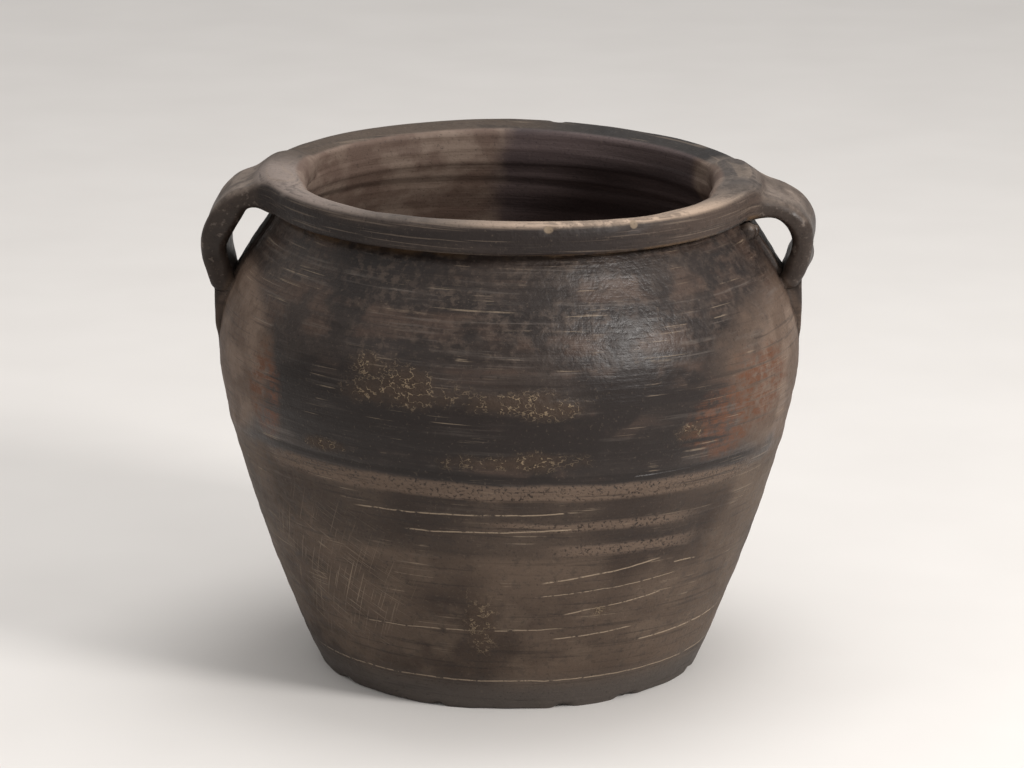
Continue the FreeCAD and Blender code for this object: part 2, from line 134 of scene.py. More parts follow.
def stretch(start, end, step):
    """Points of a straight stretch, about step apart."""
    start, end = np.array(start, float), np.array(end, float)
    count = max(2, int(np.linalg.norm(end - start) / step) + 1)
    return start + np.linspace(0, 1, count)[:, None] * (end - start)


def rounded(corners, step):
    """An open path through corners given as (radius, height, rounding)."""
    path = [np.array([corners[0][:2]], float)]
    for before, corner, after in zip(corners, corners[1:], corners[2:]):
        here = np.array(corner[:2], float)
        back, ahead = np.array(before[:2]) - here, np.array(after[:2]) - here
        back, ahead = back / np.linalg.norm(back), ahead / np.linalg.norm(ahead)
        half = math.acos(np.clip(back @ ahead, -1, 1)) / 2
        run = corner[2] / math.tan(half)
        start, end = here + back * run, here + ahead * run
        path.append(stretch(path[-1][-1], start, step))
        pulls = np.linspace(0, 1, max(3, int(corner[2] / step * 2) + 2))[:, None]
        path.append((1 - pulls) ** 2 * start + 2 * pulls * (1 - pulls) * here + pulls**2 * end)
    path.append(stretch(path[-1][-1], corners[-1][:2], step))
    return np.vstack(path)


def lower_centre():
    """Centre of the long lower arc, which starts at the foot and touches the belly arc inside."""
    foot = np.array([FOOT_RADIUS, 0.0])
    apart = BELLY_CENTRE - foot
    length = np.linalg.norm(apart)
    gap = LOWER_ARC - BELLY_ARC
    along = (LOWER_ARC**2 - gap**2 + length**2) / (2 * length)
    aside = math.sqrt(LOWER_ARC**2 - along**2)
    unit = apart / length
    return foot + unit * along + np.array([-unit[1], unit[0]]) * aside


BELLY_CENTRE = np.array([BELLY_RADIUS - BELLY_ARC, BELLY_LEVEL])
LOWER_CENTRE = lower_centre()
NECK = np.array([NECK_RADIUS, NECK_LEVEL])
TURN_LOW = math.atan2(*(BELLY_CENTRE - LOWER_CENTRE)[::-1])
NECK_APART = NECK - BELLY_CENTRE
TURN_HIGH = (math.atan2(NECK_APART[1], NECK_APART[0])
             - math.acos(BELLY_ARC / np.linalg.norm(NECK_APART)))
SHOULDER_START = BELLY_CENTRE + BELLY_ARC * np.array([math.cos(TURN_HIGH), math.sin(TURN_HIGH)])


def wall_path(inset, low, high, step):
    """The wall's arcs at a depth under the outside, from height low up to height high."""
    start = math.asin((low - LOWER_CENTRE[1]) / (LOWER_ARC - inset))
    belly = BELLY_CENTRE + (BELLY_ARC - inset) * np.array([math.cos(TURN_LOW), math.sin(TURN_LOW)])
    if high <= belly[1]:
        end = math.asin((high - LOWER_CENTRE[1]) / (LOWER_ARC - inset))
        return arc(LOWER_CENTRE, LOWER_ARC - inset, start, end, step)
    if low < belly[1]:
        first = arc(LOWER_CENTRE, LOWER_ARC - inset, start, TURN_LOW, step)
    else:
        first = np.zeros((0, 2))
    bend = arc(BELLY_CENTRE, BELLY_ARC - inset, TURN_LOW, TURN_HIGH, step)
    return np.vstack([first[:-1], bend])


def joined(*parts):
    """Stretches put end to end, without the points that two of them share."""
    points = np.vstack(parts)
    keep = np.ones(len(points), bool)
    keep[1:] = np.linalg.norm(np.diff(points, axis=0), axis=1) > 1e-3
    return points[keep]


INWARD = np.array([SHOULDER_START[1] - NECK[1], NECK[0] - SHOULDER_START[0]])
INWARD = INWARD / np.linalg.norm(INWARD)
NECK_INSIDE = NECK + INWARD * WALL
FINE, COARSE = 0.8, 2.2
WALL_FOOT = wall_path(WALL, FLOOR, FLOOR + 1, 1)[0][0]
COIL_HOLLOW = 26.0
COIL_START = wall_path(WALL, COIL_TOP, COIL_TOP + 1, 1)[0]
COIL_END = np.array([WALL_FOOT - 13.0, FLOOR])


def outside_path():
    """The whole outside, from the foot's rounded edge over the collar to its lip."""
    foot = rounded([(FOOT_RADIUS - 8, 0, 0), (FOOT_RADIUS, 0, 1.6),
                    tuple(wall_path(0, 4, 6, FINE)[0]) + (0,)], 0.5)
    wall = wall_path(0, 4, NECK_LEVEL, FINE)
    collar = rounded([
        tuple(wall[-1]) + (0,),
        (NECK[0] + 0.6, NECK[1] - 0.9, 0.5),
        (NECK[0] + 1.6, NECK[1] + 0.6, 0.7),
        (BAND_RADIUS - 1.4, NECK[1] - 0.2, 3.2),
        (BAND_RADIUS + 0.4, RIM_TOP + 1.2, 7.5),
        (MOUTH_RADIUS, RIM_TOP - 4.0, 3.4),
        (MOUTH_RADIUS, RIM_TOP - 14.0, 0),
    ], 0.55)
    return joined(foot, wall, collar)


def inside_path():
    """The inside, from the lip's throat down the neck and the wall to the middle of the floor."""
    wall = wall_path(WALL, FLOOR + 1, NECK_LEVEL, COARSE)[::-1]
    throat = rounded([
        (MOUTH_RADIUS, RIM_TOP - 14.0, 0),
        (MOUTH_RADIUS + 0.4, NECK_INSIDE[1] + 2.0, 5.0),
        tuple(NECK_INSIDE) + (6.0,),
        tuple(wall[0]) + (0,),
    ], 0.9)
    heights = wall[:, 1]
    wall = wall[heights > COIL_TOP]
    chord = COIL_END - COIL_START
    half = np.linalg.norm(chord) / 2
    aside = np.array([chord[1], -chord[0]]) / (2 * half)
    centre = (COIL_START + COIL_END) / 2 + aside * math.sqrt(COIL_HOLLOW**2 - half**2)
    start, end = [math.atan2(*(place - centre)[::-1]) for place in (COIL_START, COIL_END)]
    floor = rounded([tuple(COIL_END) + (0,), (0.5, FLOOR, 0)], COARSE)
    bottom = np.vstack([arc(centre, COIL_HOLLOW, start, end, COARSE), floor])
    return joined(throat, wall, bottom)


def path_normals(path):
    """Unit normals on the right-hand side of a path."""
    along = np.gradient(path, axis=0)
    along = along / np.linalg.norm(along, axis=1)[:, None]
    return np.column_stack([along[:, 1], -along[:, 0]])


OUTSIDE = outside_path()
OUTSIDE_NORMAL = path_normals(OUTSIDE)
INSIDE = inside_path()
INSIDE_NORMAL = path_normals(INSIDE)


# ---------------------------------------------------------------------------------------------
# Marks of the hand on the turned surfaces
# ---------------------------------------------------------------------------------------------
RING_TILT = 0.03
SEAM_MARK = 144.2
FOOT_MARKS = ((16.0, 0.30, 0.9), (5.5, 0.22, 0.8))
FOOT_CHIPS = ((16.4, 2.4, 5.0), (36.0, 1.8, 4.0), (39.5, 1.5, 3.0), (-21.0, 1.6, 3.5), (-58.0, 1.5, 5.0),
              (71.0, 1.8, 4.0), (128.0, 2.2, 6.0), (-140.0, 1.6, 5.0))
RIM_CHIPS = ((8.6, 271.5, 2.6, 0.9), (29.1, 271.0, 3.0, 1.0), (-64.0, 274.0, 3.0, 0.5),
             (103.0, 274.0, 3.4, 0.6), (168.0, 272.0, 4.0, 0.8))


def on_surface(radius, height, turn):
    """Points of the turned surface in space; turn is the angle from the front towards +X."""
    return radius * np.sin(turn), -radius * np.cos(turn), height + 0 * turn


def groove(value, centre, width):
    """A rounded notch of depth 1 across a value."""
    return np.exp(-((value - centre) / width) ** 2)


def outside_marks(radius, height, turn):
    """How far the outside stands proud of its outline, in millimetres."""
    place = on_surface(radius, height, turn)
    ring_level = height + RING_TILT * place[0]
    ring_place = (place[0], place[1], ring_level)
    wall = smooth(height, 3, 12) * (1 - smooth(height, NECK_LEVEL - 6, NECK_LEVEL - 1))
    marks = wall * (0.24 * noise(ring_place, (260, 260, 10), 11)
                    + 0.13 * noise(ring_place, (130, 130, 4.2), 12)
                    + 0.06 * noise(ring_place, (70, 70, 2.0), 13))
    marks = marks + 0.62 * lumps(place, 88, 21) + 0.12 * lumps(place, 15, 24)
    seam_wander = SEAM_MARK + 1.1 * noise(place, (70, 70, 400), 31)
    seam_depth = 0.42 * (0.6 + 0.4 * noise(place, (50, 50, 400), 32))
    marks = marks - seam_depth * groove(ring_level, seam_wander, 1.0)
    marks = marks + 0.35 * groove(ring_level, seam_wander - 7.5, 5.0)
    for level, depth, width in FOOT_MARKS:
        wander = level + 0.9 * noise(place, (45, 45, 400), 41 + int(level))
        uneven = 0.7 + 0.5 * noise(place, (30, 30, 400), 45)
        marks = marks - depth * uneven * groove(height, wander, width)
    degrees = np.degrees(turn)
    for at, depth, width in FOOT_CHIPS:
        away = (degrees - at + 180) % 360 - 180
        reach = np.exp(-(away * FOOT_RADIUS * math.pi / 180 / width) ** 2)
        marks = marks - depth * reach * (1 - smooth(height, 0.5, 4.5)) * (radius > FOOT_RADIUS - 6)
    for at, level, size, depth in RIM_CHIPS:
        away = ((degrees - at + 180) % 360 - 180) * BAND_RADIUS * math.pi / 180
        chip = np.exp(-((away / size) ** 4) - ((height - level) / size) ** 4)
        marks = marks - depth * chip * (radius > 126)
    rim = smooth(height, NECK_LEVEL - 1, NECK_LEVEL + 3)
    marks = marks + rim * (0.5 * noise(place, (60, 60, 90), 51) + 0.22 * noise(place, (24, 24, 30), 52)
                           + 0.10 * noise(place, (50, 50, 2.4), 53))
    foot_edge = 1 - smooth(height, 2, 10)
    return marks + foot_edge * (0.55 * noise(place, (34, 34, 60), 61)
                                + 0.3 * noise(place, (11, 11, 20), 62))


def inside_marks(radius, height, turn):
    """How far the inside stands proud of its outline, towards the middle, in millimetres."""
    place = on_surface(radius, height, turn)
    ring_level = height + RING_TILT * place[0]
    ring_place = (place[0], place[1], ring_level)
    marks = (0.45 * noise(ring_place, (240, 240, 11), 71) + 0.25 * noise(ring_place, (120, 120, 5), 72)
             + 0.5 * lumps(place, 70, 73))
    marks = marks + 0.7 * groove(ring_level, 245.5, 2.2) - 0.45 * groove(ring_level, 240.5, 1.8)
    marks = marks * smooth(radius, 8, 40)
    throat = smooth(height, NECK_LEVEL + 4, NECK_LEVEL + 8)
    return marks * (1 - throat) + throat * outside_marks(radius, height, turn)


# ---------------------------------------------------------------------------------------------
# Distance fields of the outside and of what is luted to it
# ---------------------------------------------------------------------------------------------
TABLE_LOW, TABLE_HIGH = (88, 166), (186, 292)
HANDLE_LOW, HANDLE_HIGH = np.array([96.0, -64.0, 172.0]), np.array([176.0, 64.0, 286.0])
STRIP_TOP, STRIP_BOTTOM = 256, 213


class PathTable:
    """Signed distance to a planar path and the place along it, looked up on a fine grid."""

    def __init__(self, path, normals, low, high, cell=0.3):
        self.low, self.cell = np.array(low, float), cell
        counts = [int((h - l) / cell) + 2 for l, h in zip(low, high)]
        across = self.low[0] + cell * np.arange(counts[0])
        up = self.low[1] + cell * np.arange(counts[1])
        grid = np.stack(np.meshgrid(across, up, indexing="ij"), -1).reshape(-1, 2)
        distance, along = np.empty(len(grid)), np.empty(len(grid))
        starts, runs = path[:-1], np.diff(path, axis=0)
        lengths = (runs**2).sum(1)
        for first in range(0, len(grid), 20000):
            points = grid[first:first + 20000]
            away = points[:, None] - starts[None]
            share = np.clip((away * runs).sum(2) / lengths, 0, 1)
            rest = away - share[..., None] * runs
            nearest = (rest**2).sum(2).argmin(1)
            pick = np.arange(len(points))
            part, gap = share[pick, nearest], rest[pick, nearest]
            normal = normals[nearest] * (1 - part[:, None]) + normals[nearest + 1] * part[:, None]
            side = np.where((gap * normal).sum(1) < 0, -1.0, 1.0)
            distance[first:first + 20000] = side * np.sqrt((gap**2).sum(1))
            along[first:first + 20000] = nearest + part
        self.distance, self.along = distance.reshape(counts), along.reshape(counts)

    def __call__(self, across, up):
        """Distance and place along the path at points of the plane."""
        place = [np.clip((v - l) / self.cell, 0, n - 1.001) for v, l, n in
                 zip((across, up), self.low, self.distance.shape)]
        cell = [p.astype(int) for p in place]
        part = [p - c for p, c in zip(place, cell)]
        total, nearest = 0.0, self.along[cell[0], cell[1]]
        for i, j in np.ndindex(2, 2):
            weight = (part[0] if i else 1 - part[0]) * (part[1] if j else 1 - part[1])
            total = total + weight * self.distance[cell[0] + i, cell[1] + j]
        return total, nearest


WALL_LEVELS = np.array([0, 50, 100, 141, 160, 177, 200, 226,
                        NECK_LEVEL, NECK_LEVEL + 4, RIM_TOP - 4, RIM_TOP + 3])
WALL_MIDDLES = np.interp(WALL_LEVELS, OUTSIDE[:, 1], OUTSIDE[:, 0]) - WALL / 2
WALL_MIDDLES[-3:] = (MOUTH_RADIUS + 4, MOUTH_RADIUS + 2.5, MOUTH_RADIUS)
OUTSIDE_TABLE = PathTable(OUTSIDE, OUTSIDE_NORMAL, TABLE_LOW, TABLE_HIGH)
ROWS = np.arange(len(OUTSIDE))


def skin_field(p):
    """Distance from the marked outside of the pot; below zero in the clay and in the hollow."""
    radius, turn = np.hypot(p[0], p[1]), np.arctan2(p[0], -p[1])
    distance, row = OUTSIDE_TABLE(radius, p[2])
    foot_r = np.interp(row, ROWS, OUTSIDE[:, 0])
    foot_z = np.interp(row, ROWS, OUTSIDE[:, 1])
    return distance - outside_marks(foot_r, foot_z, turn)


def melt(a, b, reach):
    """Union of two fields, filleted where they meet."""
    near = np.maximum(reach - np.abs(a - b), 0) / reach
    return np.minimum(a, b) - near * near * reach / 4


def carve(a, b, reach):
    """Field a with b taken out of it, with a softened edge."""
    near = np.maximum(reach - np.abs(a + b), 0) / reach
    return np.maximum(a, -b) + near * near * reach / 4


def bar(u, v, half_u, half_v, corner):
    """Distance from a bar whose section is a rounded rectangle."""
    du, dv = np.abs(u) - (half_u - corner), np.abs(v) - (half_v - corner)
    return (np.hypot(np.maximum(du, 0), np.maximum(dv, 0)) + np.minimum(np.maximum(du, dv), 0) - corner)


def egg(p, centre, radii):
    """Roughly the distance from an egg shape."""
    scaled = [(p[i] - centre[i]) / radii[i] for i in range(3)]
    length = np.sqrt(sum(s * s for s in scaled))
    return (length - 1) * min(radii)


def spline(points, per_span=8):
    """A smooth curve through points, as closely spaced samples of all their columns."""
    points = np.array(points, float)
    padded = np.vstack([2 * points[0] - points[1], points, 2 * points[-1] - points[-2]])
    samples = []
    for a, b, c, d in zip(padded, padded[1:], padded[2:], padded[3:]):
        t = np.linspace(0, 1, per_span, endpoint=False)[:, None]
        samples.append(0.5 * (2 * b + (c - a) * t + (2 * a - 5 * b + 4 * c - d) * t**2
                              + (3 * b - 3 * c + d - a) * t**3))
    return np.vstack(samples + [points[-1:]])


class Handle:
    """One handle in the frame of the +X side; the left one is turned over at the end."""

    def __init__(self, side, ribs, skew, knuckle, tail, torn, slots, seed):
        # ribs: reach, level, half width and half thickness of the strap along its bend
        # knuckle: reach, level, half breadth and size of the lump where the strap ends
        # tail: top, bottom and reach of the strip's tail, thickness of its seat, and half width
        # torn: the torn top edge of the strip; slots: the gaps left between strip and wall
        self.side = side
        self.skew = skew
        self.seed = seed
        self.knuckle = knuckle
        self.tail = tail
        self.torn = torn
        self.slots = slots
        self.ribs = spline(ribs)
        bend = self.ribs[:, :2]
        self.table = PathTable(bend, path_normals(bend), TABLE_LOW, TABLE_HIGH)

    def true_place(self, p):
        """The point on its own side of the pot."""
        return p[0] * self.side, p[1], p[2]

    def beside(self, x, y, z):
        """Whether points lie around this handle, on its own side of the pot."""
        across = (x * self.side > HANDLE_LOW[0] - 4) & (np.abs(y) < HANDLE_HIGH[1] + 2)
        return across & (z > HANDLE_LOW[2] - 4)

    def strap(self, p):
        """The pulled strap, thickest at its bend and hollowed a little along its inside."""
        away, along = self.table(p[0] - self.skew * p[1], p[2])
        rows = np.arange(len(self.ribs))
        half_width = np.interp(along, rows, self.ribs[:, 2])
        half_thick = np.interp(along, rows, self.ribs[:, 3])
        wobble = 1.1 * noise(p, (40, 500, 16), self.seed) + 0.5 * noise(p, (500, 9, 12), self.seed + 1)
        hollow = 0.45 * np.exp(-(p[1] / (0.5 * half_width)) ** 2) * (away < 0)
        lump = 0.45 * lumps(p, 18, self.seed + 2)
        return bar(p[1] + wobble, away, half_width, half_thick - hollow, 4.6) - lump

    def lobe(self, p):
        """The knuckle: the thickened end of the strap."""
        reach, level, breadth, size = self.knuckle
        return egg(p, (reach, 2, level), (size, breadth, size * 0.95)) - 0.4 * lumps(p, 9, self.seed + 5)

    def strips(self, p, skin):
        """The seat inside the loop and the tail that hangs straight down over the belly."""
        top, bottom, reach, seat_thick, half_width = self.tail
        run = np.clip((p[2] - bottom) / (top - bottom), 0, 1)
        edge = half_width * (0.8 + 0.2 * run) + 1.2 * noise(p, (500, 500, 9), self.seed + 6)
        across = p[1] + 1.5 * noise(p, (500, 500, 22), self.seed + 7)
        outer = reach - 2.6 * smooth(p[2], bottom + 14, bottom) - p[1] ** 2 / (2 * reach)
        outer = outer + 0.3 * noise(p, (500, 14, 12), self.seed + 3)
        tail = bar(across, p[0] - outer + 6, edge, 6, 1.5)
        tail = np.maximum(tail, np.maximum(p[2] - top, bottom - p[2]))
        thick = seat_thick + 0.4 * noise(p, (9, 9, 9), self.seed + 8)
        seat = bar(across, skin, half_width - 2.5, thick, 1.2)
        seat = np.maximum(seat, np.maximum(p[2] - STRIP_TOP, STRIP_BOTTOM - p[2]))
        return np.minimum(tail, seat)

    def eggs(self, p, spots):
        """Small egg shapes together, far away where there are none."""
        total = np.full(np.shape(p[0]), 50.0)
        for centre, radii in spots:
            total = np.minimum(total, egg(p, centre, radii))
        return total

    def fields(self, p):
        """Distance fields of the skin, the strap with its knuckle, the strips and all together."""
        skin = skin_field(self.true_place(p))
        strap = melt(self.strap(p), self.lobe(p), 3.5)
        torn = self.eggs(p, self.torn) - 0.35 * lumps(p, 5, self.seed + 9)
        strips = melt(self.strips(p, skin), torn, 1.8)
        whole = melt(skin, strap, 2.6 + 8.5 * smooth(p[2], 240, 258))
        whole = melt(whole, strips, 1.4)
        whole = carve(whole, self.eggs(p, self.slots), 0.8)
        return skin, strap, strips, whole


# ---------------------------------------------------------------------------------------------
# Meshing
# ---------------------------------------------------------------------------------------------
def surface_net(values, low, cell):
    """Closed quad mesh of the zero level of a sampled field."""
    inside = values < 0
    counts = np.array(values.shape) - 1
    total = np.zeros((*counts, 3))
    crossings = np.zeros(counts)
    for axis in range(3):
        others = [a for a in range(3) if a != axis]
        for shift in np.ndindex(2, 2):
            here = [slice(None, -1)] * 3
            for other, s in zip(others, shift):
                here[other] = slice(s, values.shape[other] - 1 + s)
            start, end = list(here), list(here)
            start[axis], end[axis] = slice(0, -1), slice(1, None)
            a, b = values[tuple(start)], values[tuple(end)]
            cross = inside[tuple(start)] != inside[tuple(end)]
            share = np.where(cross, a / np.where(cross, a - b, 1), 0)
            total[..., axis] += np.where(cross, share, 0)
            for other, s in zip(others, shift):
                total[..., other] += np.where(cross, s, 0)
            crossings += cross
    active = crossings > 0
    index = np.full(counts, -1)
    index[active] = np.arange(active.sum())
    corner = np.argwhere(active)
    points = (corner + total[active] / crossings[active][:, None]) * cell + low
    quads = []
    for axis in range(3):
        u, v = (axis + 1) % 3, (axis + 2) % 3
        start, end = [slice(None)] * 3, [slice(None)] * 3
        start[axis], end[axis] = slice(0, -1), slice(1, None)
        cross = inside[tuple(start)] != inside[tuple(end)]
        at = np.argwhere(cross)
        at = at[(at[:, u] > 0) & (at[:, v] > 0) & (at[:, u] < counts[u]) & (at[:, v] < counts[v])]
        step_u, step_v = np.eye(3, dtype=int)[u], np.eye(3, dtype=int)[v]
        ring = [at - step_u - step_v, at - step_v, at, at - step_u]
        quad = np.column_stack([index[tuple(r.T)] for r in ring])
        filled = inside[tuple(at.T)]
        quads.append(np.where(filled[:, None], quad, quad[:, ::-1]))
    return points, np.vstack(quads)


def largest_part(points, quads):
    """Drops every loose crumb and keeps the largest connected mesh."""
    label = np.arange(len(points))
    while True:
        lowest = label[quads].min(1)
        before = label.copy()
        np.minimum.at(label, quads.ravel(), np.repeat(lowest, 4))
        label = label[label]
        if (label == before).all():
            break
    kept = label == np.bincount(label).argmax()
    renumber = np.cumsum(kept) - 1
    return points[kept], renumber[quads[kept[quads[:, 0]]]]


def hand_built(points):
    """The small unevenness of the whole pot: an oval mouth, and a rim that dips at the handles."""
    x, y, z = points[:, 0], points[:, 1], points[:, 2]
    lift = smooth(z, 120, RIM_TOP)
    turn = np.arctan2(x, -y)
    swell = 1 + 0.007 * smooth(z, 190, 260) * np.cos(2 * (turn - math.radians(-35)))
    swell = swell - 0.005 * smooth(z, 10, 40) * smooth(z, 150, 100)
    depth = y / BAND_RADIUS
    rise = smooth(z, 230, RIM_TOP) * (1.35 * depth**4 + 1.5 * depth)
    return np.column_stack([x * swell, y * swell, z - 0.0155 * x * lift + rise])


def traits(points):
    """What the clay's material asks of each point, each from 0 to 1.

    hollow is 1 on the inside of the pot, proud is 1 well off the wall on a handle, and the third trait is 1
    in a crease where a handle meets the wall, where the material darkens the colour as painted shade.
    """
    radius, height = np.hypot(points[:, 0], points[:, 1]), points[:, 2]
    middle = np.interp(height, WALL_LEVELS, WALL_MIDDLES)
    hollow = smooth(middle - radius, -1.5, 1.5) * smooth(height, 4, 8)
    proud, crease_shade = np.zeros(len(points)), np.zeros(len(points))
    for handle in HANDLES:
        near = handle.beside(points[:, 0], points[:, 1], height)
        skin, strap, strips, _ = handle.fields(np.array(handle.true_place(points[near].T)))
        luted = np.minimum(strap, strips)
        proud[near] = np.maximum(proud[near], smooth(skin, 0.4, 6) * smooth(luted, 3, 0.5))
        # Crease mask: the material darkens these creases as painted shade.
        crease = np.exp(-((luted / 2.6) ** 2 + (skin / 2.6) ** 2)) * smooth(height[near], 262, 250)
        crease = np.maximum(crease, np.exp(-((strap / 2.4) ** 2 + (strips / 2.4) ** 2)))
        crease_shade[near] = np.maximum(crease_shade[near], crease)
    return {"hollow": hollow, "proud": proud, "crease_shade": crease_shade}


def make_mesh(name, points, faces, triangles=()):
    """A smooth-shaded object in metres from points in millimetres."""
    mesh = bpy.data.meshes.new(name)
    marks = traits(points)
    points = hand_built(points) * MM
    sizes = np.concatenate([np.full(len(faces), 4), np.full(len(triangles), 3)]).astype(np.int32)
    corners = np.concatenate([np.ravel(faces), np.ravel(triangles)]).astype(np.int32)
    mesh.vertices.add(len(points))
    mesh.vertices.foreach_set("co", points.astype(np.float32).ravel())
    mesh.loops.add(len(corners))
    mesh.loops.foreach_set("vertex_index", corners)
    mesh.polygons.add(len(sizes))
    mesh.polygons.foreach_set("loop_start", np.concatenate([[0], np.cumsum(sizes)[:-1]]).astype(np.int32))
    mesh.update(calc_edges=True)
    mesh.validate()
    mesh.shade_smooth()
    mesh.set_sharp_from_angle(angle=math.radians(55))
    for trait, values in marks.items():
        layer = mesh.attributes.new(trait, "FLOAT", "POINT")
        layer.data.foreach_set("value", values.astype(np.float32))
    piece = bpy.data.objects.new(name, mesh)
    bpy.context.scene.collection.objects.link(piece)
    return piece


def finish_piece(piece, material, *nodes):
    """Gives a piece its clay, puts it under the root body and hides the CAD nodes it stands for."""
    piece.data.materials.append(material)
    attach(piece, "root")
    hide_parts(*nodes)
    return piece


# ---------------------------------------------------------------------------------------------
# The turned pieces
# ---------------------------------------------------------------------------------------------
COLUMNS = 360
TURNS = np.linspace(-math.pi, math.pi, COLUMNS, endpoint=False)


def turned_grid(path, normals, marks):
    """Rows of points around the pot, one row for each point of the path."""
    radius, turn = np.meshgrid(path[:, 0], TURNS, indexing="ij")
    height = np.meshgrid(path[:, 1], TURNS, indexing="ij")[0]
    proud = marks(radius, height, turn)
    radius = radius + normals[:, :1] * proud
    height = height + normals[:, 1:] * proud
    return np.stack(on_surface(radius, height, turn), -1)


def follow_handles(grid, path, normals, handles):
    """Lifts the outside where a handle is melted to it, so that the two surfaces run together."""
    turn = np.meshgrid(path[:, 0], TURNS, indexing="ij")[1]
    normal = np.stack([normals[:, :1] * np.sin(turn), -normals[:, :1] * np.cos(turn),
                       normals[:, 1:] + 0 * turn], -1)
    for handle in handles:
        near = handle.beside(grid[..., 0], grid[..., 1], grid[..., 2])
        start, out = grid[near], normal[near]
        rise = np.zeros(len(start))
        for _ in range(7):
            p = start + out * rise[:, None]
            whole = handle.fields(handle.true_place(p.T))[3]
            rise = np.clip(rise - 0.9 * whole, 0, 1.3)
        rise = rise - 0.12 * smooth(rise, 0.03, 0.5)
        grid[near] = start + out * rise[:, None]
    return grid


def seam_rows(start, end, count):
    """Rows that cross from one grid row to another, without those two rows."""
    share = np.linspace(0, 1, count + 2)[1:-1, None, None]
    return start + share * (end - start)


def ring_mesh(name, rows):
    """A closed ring from rows of points; the last row joins the first."""
    rows = np.asarray(rows)
    count = len(rows)
    index = np.arange(count * COLUMNS).reshape(count, COLUMNS)
    a, b = index, np.roll(index, -1, axis=0)
    faces = np.stack([a, np.roll(a, -1, 1), np.roll(b, -1, 1), b], -1).reshape(-1, 4)
    return make_mesh(name, rows.reshape(-1, 3), faces)


def disc_mesh(name, rows):
    """A closed disc from rows of points, with a point in the middle below and above."""
    rows = np.asarray(rows)
    count = len(rows)
    index = np.arange(count * COLUMNS).reshape(count, COLUMNS)
    a, b = index[:-1], index[1:]
    faces = np.stack([a, np.roll(a, -1, 1), np.roll(b, -1, 1), b], -1).reshape(-1, 4)
    under, over = count * COLUMNS, count * COLUMNS + 1
    first, last = index[0], index[-1]
    caps = np.vstack([np.column_stack([np.full(COLUMNS, under), np.roll(first, -1), first]),
                      np.column_stack([np.full(COLUMNS, over), last, np.roll(last, -1)])])
    middles = [[0, 0, rows[0][:, 2].mean()], [0, 0, rows[-1][:, 2].mean()]]
    return make_mesh(name, np.vstack([rows.reshape(-1, 3), middles]), faces, caps)


def nearest_row(path, place):
    """The row of a path that lies closest to a place."""
    return int(np.argmin(np.hypot(*(path - place).T)))


def turned_pieces(handles, material):
    """The slab, both walls, the collar and the corner coil, cut from one outside and one inside."""
    outside = turned_grid(OUTSIDE, OUTSIDE_NORMAL, outside_marks)
    outside = follow_handles(outside, OUTSIDE, OUTSIDE_NORMAL, handles)
    inside = turned_grid(INSIDE, INSIDE_NORMAL, inside_marks)
    slab_top = int(np.argmin(np.abs(OUTSIDE[:len(OUTSIDE) // 2, 1] - SLAB_EDGE)))
    seam_out = int(np.argmin(np.abs(OUTSIDE[:, 1] - SEAM_OUTER)))
    neck_out = nearest_row(OUTSIDE, NECK)
    neck_in = nearest_row(INSIDE, NECK_INSIDE)
    seam_in = int(np.argmin(np.abs(INSIDE[:, 1] - SEAM_INNER)))
    coil_in = nearest_row(INSIDE, COIL_START)
    toe_in = nearest_row(INSIDE, COIL_END)
    corner = np.stack(on_surface(WALL_FOOT + 0 * TURNS, FLOOR + 0 * TURNS, TURNS), -1)
    centre_row = int(np.argmin(INSIDE[:, 0]))
    under = []
    for radius, height in ((4.0, 0.6), (30.0, 0.5), (60.0, 0.3), (85.0, 0.1)):
        uneven = 0.2 * noise(on_surface(radius, height, TURNS), (30, 30, 30), 81)
        under.append(np.stack(on_surface(radius + 0 * TURNS, height + uneven, TURNS), -1))
    slab = disc_mesh("slab_foot", np.concatenate([
        under, outside[:slab_top + 1], seam_rows(outside[slab_top], corner, 3), corner[None],
        seam_rows(corner, inside[toe_in], 3), inside[toe_in:centre_row]]))
    lower = ring_mesh("wall_lower", np.concatenate([
        outside[slab_top:seam_out + 1], seam_rows(outside[seam_out], inside[seam_in], 3),
        inside[seam_in:coil_in + 1], seam_rows(inside[coil_in], corner, 4), corner[None],
        seam_rows(corner, outside[slab_top], 3)]))
    upper = ring_mesh("wall_upper", np.concatenate([
        outside[seam_out:neck_out + 1], seam_rows(outside[neck_out], inside[neck_in], 3),
        inside[neck_in:seam_in + 1], seam_rows(inside[seam_in], outside[seam_out], 3)]))
    collar = ring_mesh("collar_rolled", np.concatenate([
        outside[neck_out:], inside[1:neck_in + 1], seam_rows(inside[neck_in], outside[neck_out], 3)]))
    coil = ring_mesh("coil_corner", np.concatenate([
        inside[coil_in:toe_in + 1], seam_rows(inside[toe_in], corner, 3), corner[None],
        seam_rows(corner, inside[coil_in], 4)]))
    for piece, node in ((slab, "base_slab"), (lower, "lower_wall"), (upper, "upper_wall"),
                        (collar, "rim_collar"), (coil, "base_corner_coil")):
        finish_piece(piece, material, node)


